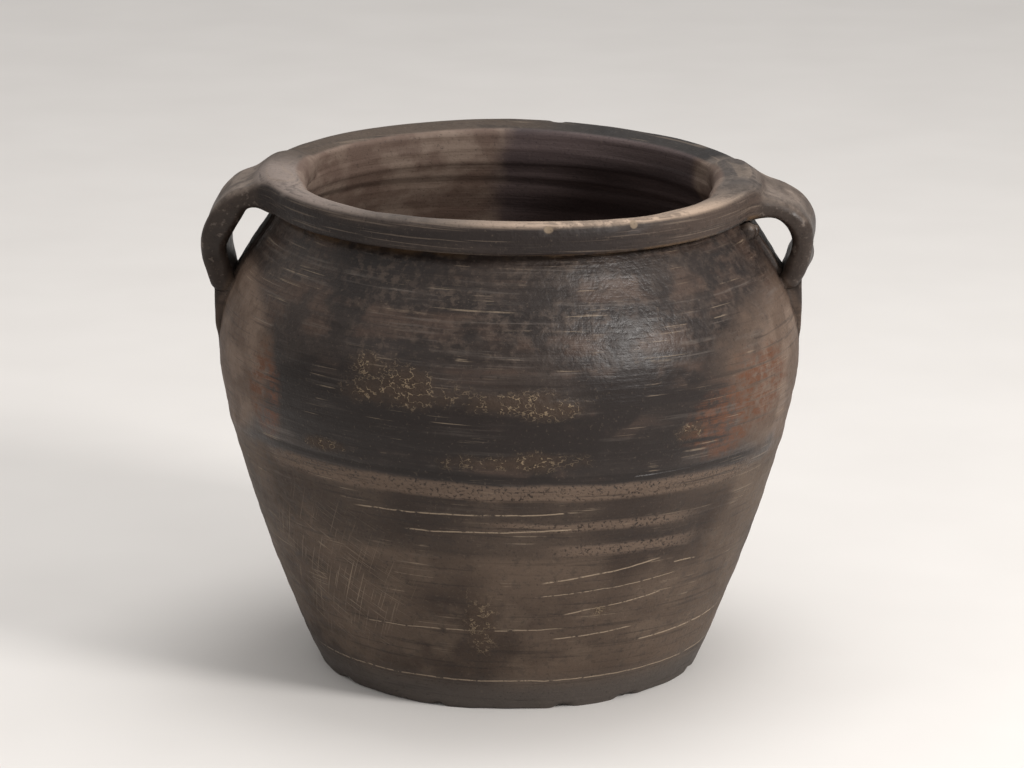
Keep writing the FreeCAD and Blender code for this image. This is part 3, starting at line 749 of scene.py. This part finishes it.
# ---------------------------------------------------------------------------------------------
# The handles
# ---------------------------------------------------------------------------------------------
CELL = 0.9
RIGHT = Handle(
    side=1, skew=0.09, seed=300,
    ribs=[(119, 266.0, 35, 6.0), (130, 265.0, 33.5, 5.8), (139.5, 262.6, 30.5, 5.4),
          (149, 260.4, 28, 5.2), (156.3, 255.6, 26.5, 5.6), (160.8, 248.6, 25.5, 6.0),
          (161.8, 240.8, 24.5, 5.6), (160.4, 233.0, 23.5, 5.6), (157.8, 226.0, 22.5, 5.9),
          (155.0, 220.5, 22, 5.4)],
    knuckle=(160.4, 230.5, 17, 6.9), tail=(219, 178, 160.6, 3.0, 19),
    torn=[((129.5, -28.5, 249.5), (4.6, 4.2, 5.0)), ((133.0, -20.5, 247.5), (3.4, 3.0, 4.2))],
    slots=[((131.5, -24.6, 247.5), (4.5, 0.9, 5.0)), ((127.0, -33.5, 250.0), (5.5, 1.0, 4.5)),
           ((136.0, -17.6, 245.0), (3.6, 0.9, 5.0))])
LEFT = Handle(
    side=-1, skew=-0.01, seed=400,
    ribs=[(119, 266.0, 38, 6.2), (130, 265.6, 35, 6.2), (139, 263.6, 31.0, 5.9),
          (146.6, 260.4, 28.5, 6.6), (152.3, 253.6, 26.5, 7.6), (157.6, 245.0, 25.5, 7.6),
          (160.8, 237.0, 24.5, 7.2), (160.6, 229.5, 23.5, 6.9), (158.8, 222.0, 22.5, 6.6),
          (157.2, 215.5, 22, 6.2)],
    knuckle=(158.2, 219.5, 17, 6.6), tail=(214, 178, 162.0, 1.0, 19),
    torn=[],
    slots=[((129.0, -34.0, 250.5), (3.0, 0.9, 1.4))])
HANDLES = (RIGHT, LEFT)
SKIN_DEPTH = 1.0
FEATHER = 0.03


def spread(values, counts, step):
    """A coarse grid brought up to a fine one by straight interpolation along each axis."""
    for axis, count in enumerate(counts):
        place = np.arange(count) / step
        cell = np.minimum(place.astype(int), values.shape[axis] - 2)
        part = (place - cell).reshape([-1 if a == axis else 1 for a in range(3)])
        values = np.take(values, cell, axis) * (1 - part) + np.take(values, cell + 1, axis) * part
    return values


def sampled_fields(handle, low, counts):
    """The handle's fields on a grid, worked out in full only close to its surfaces."""
    step = 4
    axes = [low[a] + CELL * step * np.arange(counts[a] // step + 2) for a in range(3)]
    coarse = handle.fields(np.meshgrid(*axes, indexing="ij"))
    fields = [spread(field, counts, step) for field in coarse]
    skin, strap, strips, whole = fields
    clay = np.minimum(strap, strips)
    near = (clay < 13) & (skin > -SKIN_DEPTH - 4) & (whole < 4)
    points = low[:, None] + CELL * np.argwhere(near).T
    for field, exact in zip(fields, handle.fields(points)):
        field[near] = exact
    return fields


def untangled(field):
    """The field with no cell face whose solid corners meet only across it, so its surface stays simple."""
    changed = True
    while changed:
        changed = False
        for first, second in ((0, 1), (0, 2), (1, 2)):
            grid = np.moveaxis(field, (first, second), (0, 1))
            here, beyond, right, left = grid[:-1, :-1], grid[1:, 1:], grid[1:, :-1], grid[:-1, 1:]
            straight = (here < 0) & (beyond < 0) & (right >= 0) & (left >= 0)
            left[straight] = -0.02
            crossed = (here >= 0) & (beyond >= 0) & (right < 0) & (left < 0)
            here[crossed] = -0.02
            changed = changed or straight.any() or crossed.any()
    return field


def handle_pieces(handle, label, material):
    """The strap and the strip of one handle as closed meshes."""
    counts = ((HANDLE_HIGH - HANDLE_LOW) / CELL).astype(int) + 1
    skin, strap, strips, whole = sampled_fields(handle, HANDLE_LOW, counts)
    proud = np.maximum(np.maximum(whole, -(skin + SKIN_DEPTH)), 8 * (FEATHER - (skin - whole)))
    strip_share = strap - strips
    fields = {"strap": np.maximum(proud, strip_share - 0.25),
              "strip": np.maximum(proud, -strip_share - 0.25)}
    nodes = {"strap": f"handle_strap_{label}", "strip": f"backing_strip_{label}"}
    for part, field in fields.items():
        points, quads = largest_part(*surface_net(untangled(field), HANDLE_LOW, CELL))
        points = np.column_stack(handle.true_place(points.T))
        if handle.side < 0:
            quads = quads[:, ::-1]
        finish_piece(make_mesh(f"{part}_{label}", points, quads), material, nodes[part])


# ---------------------------------------------------------------------------------------------
# Clay
# ---------------------------------------------------------------------------------------------
def tone(code):
    """The linear colour of a six-digit screen colour."""
    parts = [int(code[i:i + 2], 16) / 255 for i in (0, 2, 4)]
    return tuple(p / 12.92 if p <= 0.04045 else ((p + 0.055) / 1.055) ** 2.4 for p in parts) + (1.0,)


class Paint:
    """Shorthand for a material's nodes: each method adds nodes and gives their output."""

    def __init__(self, name):
        self.material = bpy.data.materials.new(name)
        self.material.use_nodes = True
        self.nodes, self.links = self.material.node_tree.nodes, self.material.node_tree.links
        self.shader = self.nodes["Principled BSDF"]

    def feed(self, socket, value):
        if isinstance(value, bpy.types.NodeSocket):
            self.links.new(value, socket)
        else:
            socket.default_value = value

    def math(self, kind, *values, clamp=False):
        node = self.nodes.new("ShaderNodeMath")
        node.operation, node.use_clamp = kind, clamp
        for socket, value in zip(node.inputs, values):
            self.feed(socket, value)
        return node.outputs[0]

    def product(self, first, *others):
        for other in others:
            first = self.math("MULTIPLY", first, other)
        return first

    def total(self, first, *others):
        for other in others:
            first = self.math("ADD", first, other)
        return first

    def most(self, first, *others):
        for other in others:
            first = self.math("MAXIMUM", first, other)
        return first

    def step(self, value, low, high):
        """0 at low and 1 at high, eased between; low may be the higher of the two."""
        node = self.nodes.new("ShaderNodeMapRange")
        node.interpolation_type = "SMOOTHSTEP"
        self.feed(node.inputs["Value"], value)
        node.inputs["From Min"].default_value = low
        node.inputs["From Max"].default_value = high
        return node.outputs["Result"]

    def blend(self, share, first, second):
        """The first colour turning into the second as the share goes from 0 to 1."""
        node = self.nodes.new("ShaderNodeMix")
        node.data_type = "RGBA"
        self.feed(node.inputs[0], share)
        self.feed(node.inputs[6], first)
        self.feed(node.inputs[7], second)
        return node.outputs[2]

    def grain(self, place, size, detail=3.0, rough=0.55):
        """Noise with lumps of the given size in millimetres along each axis."""
        scale = self.nodes.new("ShaderNodeVectorMath")
        scale.operation = "MULTIPLY"
        self.feed(scale.inputs[0], place)
        scale.inputs[1].default_value = [1000 / s for s in size]
        node = self.nodes.new("ShaderNodeTexNoise")
        self.links.new(scale.outputs[0], node.inputs["Vector"])
        node.inputs["Scale"].default_value = 1.0
        node.inputs["Detail"].default_value = detail
        node.inputs["Roughness"].default_value = rough
        return node.outputs["Fac"]

    def trait(self, name):
        node = self.nodes.new("ShaderNodeAttribute")
        node.attribute_name = name
        return node.outputs["Fac"]


# bearing, height, half width in degrees and half height of each patch, then how ragged and soft it is
PATCHES = {
    "bare": ((-78, 186, 25, 46, 0.25, 0.12), (82, 176, 36, 46, 1.1), (176, 150, 40, 40, 1.2)),
    "burnt": ((-33, 174, 20, 27, 0.3, 0.14), (-8, 166, 30, 20, 0.9), (30, 172, 16, 26, 0.9),
              (-140, 180, 40, 40, 1.2), (135, 120, 30, 26, 1.2)),
    "rust": ((46, 164, 9, 20, 1.1), (58, 178, 10, 20, 1.0), (-55, 172, 5, 24, 0.7),
             (-150, 96, 14, 20, 1.3)),
    "crust": ((-21, 190, 9, 8, 3.4, 0.7), (-27, 200, 4, 6, 3.0, 0.7), (1, 186, 6, 5, 3.4, 0.7),
              (8, 182, 5, 4, 3.2, 0.7), (38, 162, 3, 4, 2.6, 0.7), (-38, 153, 4, 3, 2.6, 0.7),
              (22.5, 61, 2.6, 3.4, 2.6, 0.7), (-6.5, 56, 3.2, 13, 2.8, 0.7), (0, 152, 9, 4, 3.4, 0.7),
              (150, 190, 10, 7, 3.2, 0.7)),
    "scratched": ((-46, 72, 20, 40, 0.9, 0.5), (120, 60, 30, 30, 0.9, 0.5)),
}
# from one bearing and height to another, and the half width
PALE_LINES = (((-33, 121), (15, 122.5), 0.5), ((-22, 111), (15, 112.6), 0.5), ((7.5, 81), (36, 88.6), 0.55),
              ((13, 61), (39, 67.5), 0.5), ((11, 45.5), (32, 48.2), 0.5), ((34, 38.6), (71, 40.6), 0.6),
              ((-38, 49.5), (14, 52.2), 0.4), ((40, 84), (47, 83.2), 0.5), ((6, 72.6), (42, 77.6), 0.35),
              ((-66, 19), (80, 19), 0.5), ((150, 118), (210, 121), 0.5), ((-120, 60), (-84, 66), 0.5))
# top and bottom height, first and last bearing
CRUST_BANDS = ((139.3, 130.2, -52, 57), (117.6, 112.2, -3, 40), (103.5, 96.8, 10, 42))
RIM_CHIP_PATCHES = ((8.6, 271.0, 1.1, 1.9, 0.6, 0.2), (29.1, 270.3, 1.0, 2.0, 0.6, 0.2))


class Clay(Paint):
    """The pot's clay, with marks placed by angle from the front towards +X and by height."""

    def __init__(self):
        super().__init__("fired_black_clay")
        coordinates = self.nodes.new("ShaderNodeTexCoord").outputs["Object"]
        split = self.nodes.new("ShaderNodeSeparateXYZ")
        self.links.new(coordinates, split.inputs[0])
        x, y, z = split.outputs
        self.turn = self.math("DEGREES", self.math("ARCTAN2", x, self.math("MULTIPLY", y, -1)))
        self.height = self.math("MULTIPLY", z, 1000)
        tilted = self.nodes.new("ShaderNodeCombineXYZ")
        self.links.new(x, tilted.inputs[0])
        self.links.new(y, tilted.inputs[1])
        self.feed(tilted.inputs[2], self.math("MULTIPLY_ADD", x, RING_TILT, z))
        self.place, self.rings = coordinates, tilted.outputs[0]
        self.broad = self.grain(coordinates, (75, 75, 60))
        self.cloud = self.grain(coordinates, (24, 24, 18), 4)
        self.speck = self.grain(coordinates, (4.6, 4.6, 4.2), 3, 0.6)
        self.dust = self.grain(coordinates, (1.7, 1.7, 1.5), 2)
        self.streak = self.grain(self.rings, (70, 70, 2.3), 4, 0.65)
        self.hair = self.grain(self.rings, (55, 55, 1.0), 2)
        # How much the surface faces up; the straps and the rim top use it for painted light from above.
        normal = self.nodes.new("ShaderNodeSeparateXYZ")
        self.links.new(self.nodes.new("ShaderNodeNewGeometry").outputs["Normal"], normal.inputs[0])
        self.upward = normal.outputs[2]
        self.sweep = self.grain(self.rings, (150, 150, 14), 3)
        self.hollow, self.proud, self.crease_shade = [self.trait(name) for name in ("hollow", "proud", "crease_shade")]
        self.outer = self.math("SUBTRACT", 1, self.math("MAXIMUM", self.hollow, self.proud))
        self.low_wall = self.step(self.total(self.ring_level(), self.product(self.cloud, 10)), 146, 138)
        self.shoulder = self.step(self.height, 192, 216)
        self.above = self.step(self.height, 256.6, 258.2)
        self.patches = {kind: self.most(*[self.patch(*spot) for spot in spots])
                        for kind, spots in PATCHES.items()}
        self.lines = self.most(*[self.line(*mark) for mark in PALE_LINES])
        self.crust = self.crusted_bands()
        self.ochre = self.ochre_veins()

    def away(self, turn):
        """Degrees from a bearing, never more than 180."""
        return self.math("WRAP", self.math("SUBTRACT", self.turn, turn), 180, -180)

    def patch(self, turn, level, half_turn, half_height, ragged=0.9, edge=0.3):
        """An uneven patch around a bearing and a height."""
        across = self.math("DIVIDE", self.away(turn), half_turn)
        up = self.math("DIVIDE", self.math("SUBTRACT", self.height, level), half_height)
        reach = self.math("SQRT", self.total(self.product(across, across), self.product(up, up)))
        noise = self.math("MULTIPLY_ADD", self.cloud, ragged, -ragged / 2)
        return self.step(self.total(reach, noise), 1 + edge, 1 - edge)

    def line(self, start, end, width, strength=1.0):
        """A scratched line between two (bearing, height) places."""
        run = self.math("DIVIDE", self.away(start[0]), end[0] - start[0])
        level = self.math("MULTIPLY_ADD", run, end[1] - start[1], start[1])
        wander = self.math("MULTIPLY_ADD", self.cloud, 2.4, -1.2)
        gap = self.math("SUBTRACT", self.height, self.total(level, wander))
        core = self.step(self.math("ABSOLUTE", gap), width, width * 0.35)
        ends = self.product(self.step(run, -0.02, 0.06), self.step(run, 1.02, 0.9))
        broken = self.step(self.speck, 0.36, 0.5)
        return self.product(core, ends, broken, strength)

    def band(self, top, bottom, start, end, edge=1.2):
        """A band between two heights at the front, which tilts with the rings."""
        level = self.math("MULTIPLY_ADD", self.cloud, 3.0, -1.5)
        level = self.total(level, self.ring_level())
        core = self.product(self.step(level, bottom - edge, bottom + edge),
                            self.step(level, top + edge, top - edge))
        middle, half = (start + end) / 2, (end - start) / 2
        return self.product(core, self.step(self.math("ABSOLUTE", self.away(middle)), half + 6, half - 6))

    def crusted_bands(self):
        """Dry crusted bands under the belly, pitted and broken by streaks."""
        bands = self.most(*[self.band(*spot) for spot in CRUST_BANDS],
                          self.product(self.band(135, 127, 120, 230), 0.7))
        return self.product(bands, self.step(self.dust, 0.30, 0.50), self.step(self.streak, 0.30, 0.48))

    def ochre_veins(self):
        """Curly ochre lines inside the crusted patches."""
        curls = self.grain(self.place, (11, 11, 8), 3, 0.7)
        vein = self.step(self.math("ABSOLUTE", self.math("SUBTRACT", curls, 0.5)), 0.022, 0.006)
        return self.product(self.patches["crust"], self.product(vein, self.step(self.speck, 0.38, 0.5)))

    def tint(self, base, code, *shares):
        """A colour turning into a screen colour as the product of the shares goes from 0 to 1."""
        return self.blend(self.product(*shares), base, tone(code))

    def scratches(self, slant, width, length):
        """Fine scratches that climb the wall at a slant in degrees."""
        along, up = self.math("MULTIPLY", self.turn, 0.0024), self.math("MULTIPLY", self.height, MM)
        lean, rise = math.cos(math.radians(slant)), math.sin(math.radians(slant))
        node = self.nodes.new("ShaderNodeCombineXYZ")
        self.feed(node.inputs[0], self.total(self.product(along, lean), self.product(up, rise)))
        self.feed(node.inputs[1], self.total(self.product(up, lean), self.product(along, -rise)))
        return self.step(self.grain(node.outputs[0], (length, width, 10), 2), 0.60, 0.68)

    def ring_level(self):
        """Height in millimetres along the tilted throwing rings."""
        node = self.nodes.new("ShaderNodeSeparateXYZ")
        self.links.new(self.rings, node.inputs[0])
        return self.math("MULTIPLY", node.outputs[2], 1000)


def ground_colour(clay):
    """The wall's own colours: charcoal above, brown-grey below, with bare, burnt and rusty patches."""
    step, patches = clay.step, clay.patches
    charcoal = clay.blend(step(clay.broad, 0.38, 0.64), tone("231d1b"), tone("352d29"))
    charcoal = clay.tint(charcoal, "5a4d44", clay.shoulder, step(clay.speck, 0.44, 0.66),
                         step(clay.cloud, 0.3, 0.6), 0.42)
    brown = clay.product(step(clay.sweep, 0.48, 0.62), step(clay.cloud, 0.42, 0.6))
    charcoal = clay.tint(charcoal, "4b3b32", brown, 0.6)
    umber = clay.blend(step(clay.broad, 0.36, 0.66), tone("352a23"), tone("55473c"))
    umber = clay.tint(umber, "5d4f43", step(clay.cloud, 0.48, 0.66), 0.5)
    umber = clay.tint(umber, "2c2521", step(clay.speck, 0.46, 0.34), 0.35)
    wall = clay.blend(clay.low_wall, charcoal, umber)
    wall = clay.tint(wall, "4b443f", step(clay.height, 26, 8))
    bare = clay.blend(step(clay.cloud, 0.4, 0.62), tone("56463b"), tone("6b5a4e"))
    wall = clay.blend(patches["bare"], wall, bare)
    wall = clay.tint(wall, "1d1614", patches["burnt"], clay.math("MULTIPLY_ADD", brown, -0.5, 0.92))
    wall = clay.tint(wall, "593622", patches["rust"], step(clay.speck, 0.3, 0.62),
                     step(clay.streak, 0.36, 0.56), 0.9)
    wall = clay.tint(wall, "635b55", step(clay.streak, 0.54, 0.70), step(clay.cloud, 0.36, 0.56), 0.45,
                     clay.math("MULTIPLY_ADD", patches["burnt"], -0.5, 1.0), step(clay.height, 70, 130))
    return clay.tint(wall, "1d1715", step(clay.streak, 0.46, 0.34), 0.42)


def wall_colour(clay):
    """The wall with its crusted bands, grooves, scratches and ochre crusts."""
    step, patches = clay.step, clay.patches
    wall = ground_colour(clay)
    wall = clay.tint(wall, "29221f", clay.band(130.2, 96, -46, 46, 3), 0.5)
    wall = clay.tint(wall, "635347", clay.crust, 0.8)
    wall = clay.tint(wall, "1b1513", clay.band(144.6, 140.8, -56, 60, 0.8), 0.75)
    hairs = clay.product(step(clay.hair, 0.62, 0.70), step(clay.cloud, 0.48, 0.6), step(clay.height, 20, 60))
    hairs = clay.most(hairs, clay.product(clay.scratches(62, 0.9, 34), patches["scratched"]),
                      clay.product(clay.scratches(-28, 0.8, 26), patches["scratched"]))
    wall = clay.tint(wall, "9a8975", clay.most(clay.lines, clay.product(hairs, 0.5)), 0.75)
    wall = clay.tint(wall, "43352a", patches["crust"], 0.6)
    wall = clay.tint(wall, "82715b", clay.ochre, 0.8)
    return clay.tint(wall, "5f4932", step(clay.height, 252.5, 256.5), step(clay.cloud, 0.42, 0.6), 0.6)


def collar_colour(clay):
    """The collar: a dark band, and a paler top, partly worn clay and partly painted light from above, that
    is smoked at the back.
    """
    step = clay.step
    band = clay.blend(clay.patch(72, 265, 36, 60, 0.5, 0.5), tone("231c1a"), tone("40342d"))
    band = clay.tint(band, "4a3f38", step(clay.sweep, 0.5, 0.64), 0.3)
    rim = clay.blend(step(clay.cloud, 0.4, 0.6), tone("453e3a"), tone("5d534c"))
    rim = clay.tint(rim, "a18d7c", clay.patch(28, 270, 34, 60, 0.5, 0.5))
    rim = clay.tint(rim, "7a6e67", clay.patch(-68, 270, 30, 60, 0.5, 0.5))
    rim = clay.tint(rim, "151212", clay.patch(148, 270, 36, 80, 0.4, 0.15), 0.9)
    rim = clay.tint(rim, "43372d", clay.patch(-145, 270, 46, 80, 0.5, 0.3), 0.85)
    # The upward-facing rim top takes the paler rim colours and the band the darker ones: partly worn clay,
    # partly painted light on the top and painted shade on the band.
    top = clay.product(step(clay.height, 267, 271), step(clay.upward, 0.3, 0.85))
    collar = clay.blend(top, band, rim)
    collar = clay.tint(collar, "1e1816", step(clay.streak, 0.5, 0.36), step(clay.speck, 0.34, 0.56), 0.5)
    collar = clay.tint(collar, "8a7a6b", step(clay.hair, 0.58, 0.68), 0.25)
    chips = clay.most(*[clay.patch(*spot) for spot in RIM_CHIP_PATCHES])
    return clay.tint(collar, "7a6a58", chips, 0.8)


def strap_colour(clay):
    """The straps, with painted light on their tops and painted shade on their sides and underneath, and pale
    dust specks.
    """
    # Painted light and shade: the colour goes from dark on the sides and undersides to pale on the
    # upward-facing tops.
    strap = clay.blend(clay.step(clay.upward, 0.1, 0.8), tone("2b221d"), tone("71655c"))
    strap = clay.tint(strap, "3a302a", clay.step(clay.cloud, 0.42, 0.62), 0.6)
    strap = clay.tint(strap, "2a211c", clay.step(clay.speck, 0.5, 0.36), 0.45)
    return clay.tint(strap, "8d8076", clay.step(clay.speck, 0.58, 0.7), 0.3)


def inside_colour(clay):
    """The inside: brown, and darker at the back on the right."""
    inside = clay.blend(clay.step(clay.cloud, 0.4, 0.64), tone("5e4d44"), tone("77675c"))
    inside = clay.tint(inside, "4a3a30", clay.step(clay.streak, 0.46, 0.34), 0.2)
    # A darker patch at the back on the right of the inside.
    back_dark = clay.blend(clay.step(clay.sweep, 0.4, 0.62), tone("3a3030"), tone("524645"))
    inside = clay.blend(clay.patch(150, 235, 34, 90, 0.25, 0.1), inside, back_dark)
    return clay.tint(inside, "3a2f29", clay.step(clay.height, 120, 30), 0.4)


def clay_gloss(clay):
    """Roughness: burnished where the clay is dark, dry where it is bare or crusted."""
    patches = clay.patches
    dry = clay.most(clay.low_wall, patches["bare"], clay.crust, patches["crust"], clay.hollow, clay.crease_shade,
                    clay.product(clay.above, 0.8))
    gloss = clay.total(clay.math("MULTIPLY_ADD", dry, 0.24, 0.41),
                       clay.math("MULTIPLY_ADD", clay.speck, 0.36, -0.18),
                       clay.math("MULTIPLY_ADD", clay.streak, 0.16, -0.08))
    return clay.math("MAXIMUM", gloss, 0.28)


def clay_relief(clay):
    """Relief in millimetres that is too fine for the meshes."""
    outer = clay.outer
    pebble = clay.math("MULTIPLY_ADD", clay.product(clay.shoulder, outer), 0.34, 0.16)
    return clay.total(clay.product(clay.streak, 0.24), clay.product(clay.speck, pebble),
                      clay.product(clay.hair, 0.08), clay.product(clay.dust, 0.12),
                      clay.product(clay.lines, -0.18, outer), clay.product(clay.ochre, 0.3, outer),
                      clay.product(clay.patches["crust"], clay.speck, 0.9, outer),
                      clay.product(clay.crust, 0.25, outer))


def clay_material():
    """Smoke-fired clay: dark burnished belly, warm bare patches, crusted rings and pale scratches."""
    clay = Clay()
    surface = clay.blend(clay.above, wall_colour(clay), collar_colour(clay))
    surface = clay.blend(clay.proud, surface, strap_colour(clay))
    # Painted shade: the creases where a handle meets the wall are darkened.
    surface = clay.tint(surface, "211915", clay.crease_shade, 0.8)
    surface = clay.blend(clay.hollow, surface, inside_colour(clay))
    surface = clay.tint(surface, "7a6b5c", clay.step(clay.dust, 0.6, 0.8), 0.2)
    surface = clay.tint(surface, "1a1513", clay.step(clay.dust, 0.42, 0.25), 0.45)
    bump = clay.nodes.new("ShaderNodeBump")
    bump.inputs["Distance"].default_value = MM
    clay.feed(bump.inputs["Height"], clay_relief(clay))
    clay.feed(clay.shader.inputs["Base Color"], surface)
    clay.feed(clay.shader.inputs["Roughness"], clay_gloss(clay))
    clay.feed(clay.shader.inputs["Normal"], bump.outputs["Normal"])
    clay.shader.inputs["Specular IOR Level"].default_value = 0.27
    return clay.material


# ---------------------------------------------------------------------------------------------
# Floor, light and camera
# ---------------------------------------------------------------------------------------------
def studio_floor():
    """A pale floor with a soft grain."""
    mesh = bpy.data.meshes.new("studio_floor")
    reach = 6.0
    mesh.from_pydata([(-reach, -reach, 0), (reach, -reach, 0), (reach, reach, 0), (-reach, reach, 0)], [],
                     [(0, 1, 2, 3)])
    floor = bpy.data.objects.new("studio_floor", mesh)
    bpy.context.scene.collection.objects.link(floor)
    material = bpy.data.materials.new("studio_floor")
    material.use_nodes = True
    nodes, links = material.node_tree.nodes, material.node_tree.links
    shader = nodes["Principled BSDF"]
    place = nodes.new("ShaderNodeTexCoord")
    grain = nodes.new("ShaderNodeTexNoise")
    grain.inputs["Scale"].default_value = 9
    ramp = nodes.new("ShaderNodeValToRGB")
    ramp.color_ramp.elements[0].color = (0.66, 0.64, 0.62, 1)
    ramp.color_ramp.elements[1].color = (0.72, 0.70, 0.68, 1)
    links.new(place.outputs["Object"], grain.inputs["Vector"])
    links.new(grain.outputs["Fac"], ramp.inputs["Fac"])
    links.new(ramp.outputs["Color"], shader.inputs["Base Color"])
    shader.inputs["Roughness"].default_value = 0.85
    mesh.materials.append(material)


def area_light(name, place, target, size, power, colour):
    """A rectangular light that looks at a target."""
    data = bpy.data.lights.new(name, "AREA")
    data.shape = "RECTANGLE"
    data.size, data.size_y = size
    data.energy = power
    data.color = colour
    light = bpy.data.objects.new(name, data)
    light.location = place
    aim = np.array(target) - np.array(place)
    light.rotation_euler = (math.atan2(math.hypot(aim[0], aim[1]), -aim[2]), 0,
                            math.atan2(aim[1], aim[0]) - math.pi / 2)
    bpy.context.scene.collection.objects.link(light)
    return light


def studio_light():
    """A soft sky that is brightest overhead, a key from the right, a fill and a light from above."""
    world = bpy.data.worlds.new("studio")
    world.use_nodes = True
    nodes, links = world.node_tree.nodes, world.node_tree.links
    backdrop = nodes["Background"]
    backdrop.inputs["Color"].default_value = (1.0, 0.98, 0.96, 1)
    direction = nodes.new("ShaderNodeTexCoord")
    split = nodes.new("ShaderNodeSeparateXYZ")
    links.new(direction.outputs["Generated"], split.inputs[0])
    sky = nodes.new("ShaderNodeMapRange")
    sky.inputs["From Min"].default_value = -0.1
    sky.inputs["From Max"].default_value = 1.0
    sky.inputs["To Min"].default_value = 0.18
    sky.inputs["To Max"].default_value = 0.9
    links.new(split.outputs[2], sky.inputs["Value"])
    links.new(sky.outputs["Result"], backdrop.inputs["Strength"])
    bpy.context.scene.world = world
    target = (0, 0, 0.16)
    area_light("key", (1.55, -1.2, 1.2), target, (0.5, 0.5), 38, (1, 0.97, 0.94))
    area_light("fill", (-1.6, -1.6, 0.9), target, (1.6, 1.2), 3.5, (1, 0.97, 0.95))
    area_light("overhead", (0.2, 0.3, 2.1), target, (1.2, 1.2), 17, (1, 0.98, 0.96))


def camera():
    data = bpy.data.cameras.new("camera")
    data.sensor_width = 36
    data.lens = 147.7
    view = bpy.data.objects.new("camera", data)
    tilt, roll = math.radians(90 - 14.72), math.radians(0.2)
    view.matrix_world = (Matrix.Translation((0.0015, -2.25, 0.745)) @ Matrix.Rotation(tilt, 4, "X")
                         @ Matrix.Rotation(roll, 4, "Z"))
    bpy.context.scene.collection.objects.link(view)
    bpy.context.scene.camera = view
    bpy.context.scene.view_settings.view_transform = "Standard"


def main():
    camera()
    studio_light()
    studio_floor()
    clay = clay_material()
    turned_pieces(HANDLES, clay)
    handle_pieces(RIGHT, "right", clay)
    handle_pieces(LEFT, "left", clay)


main()
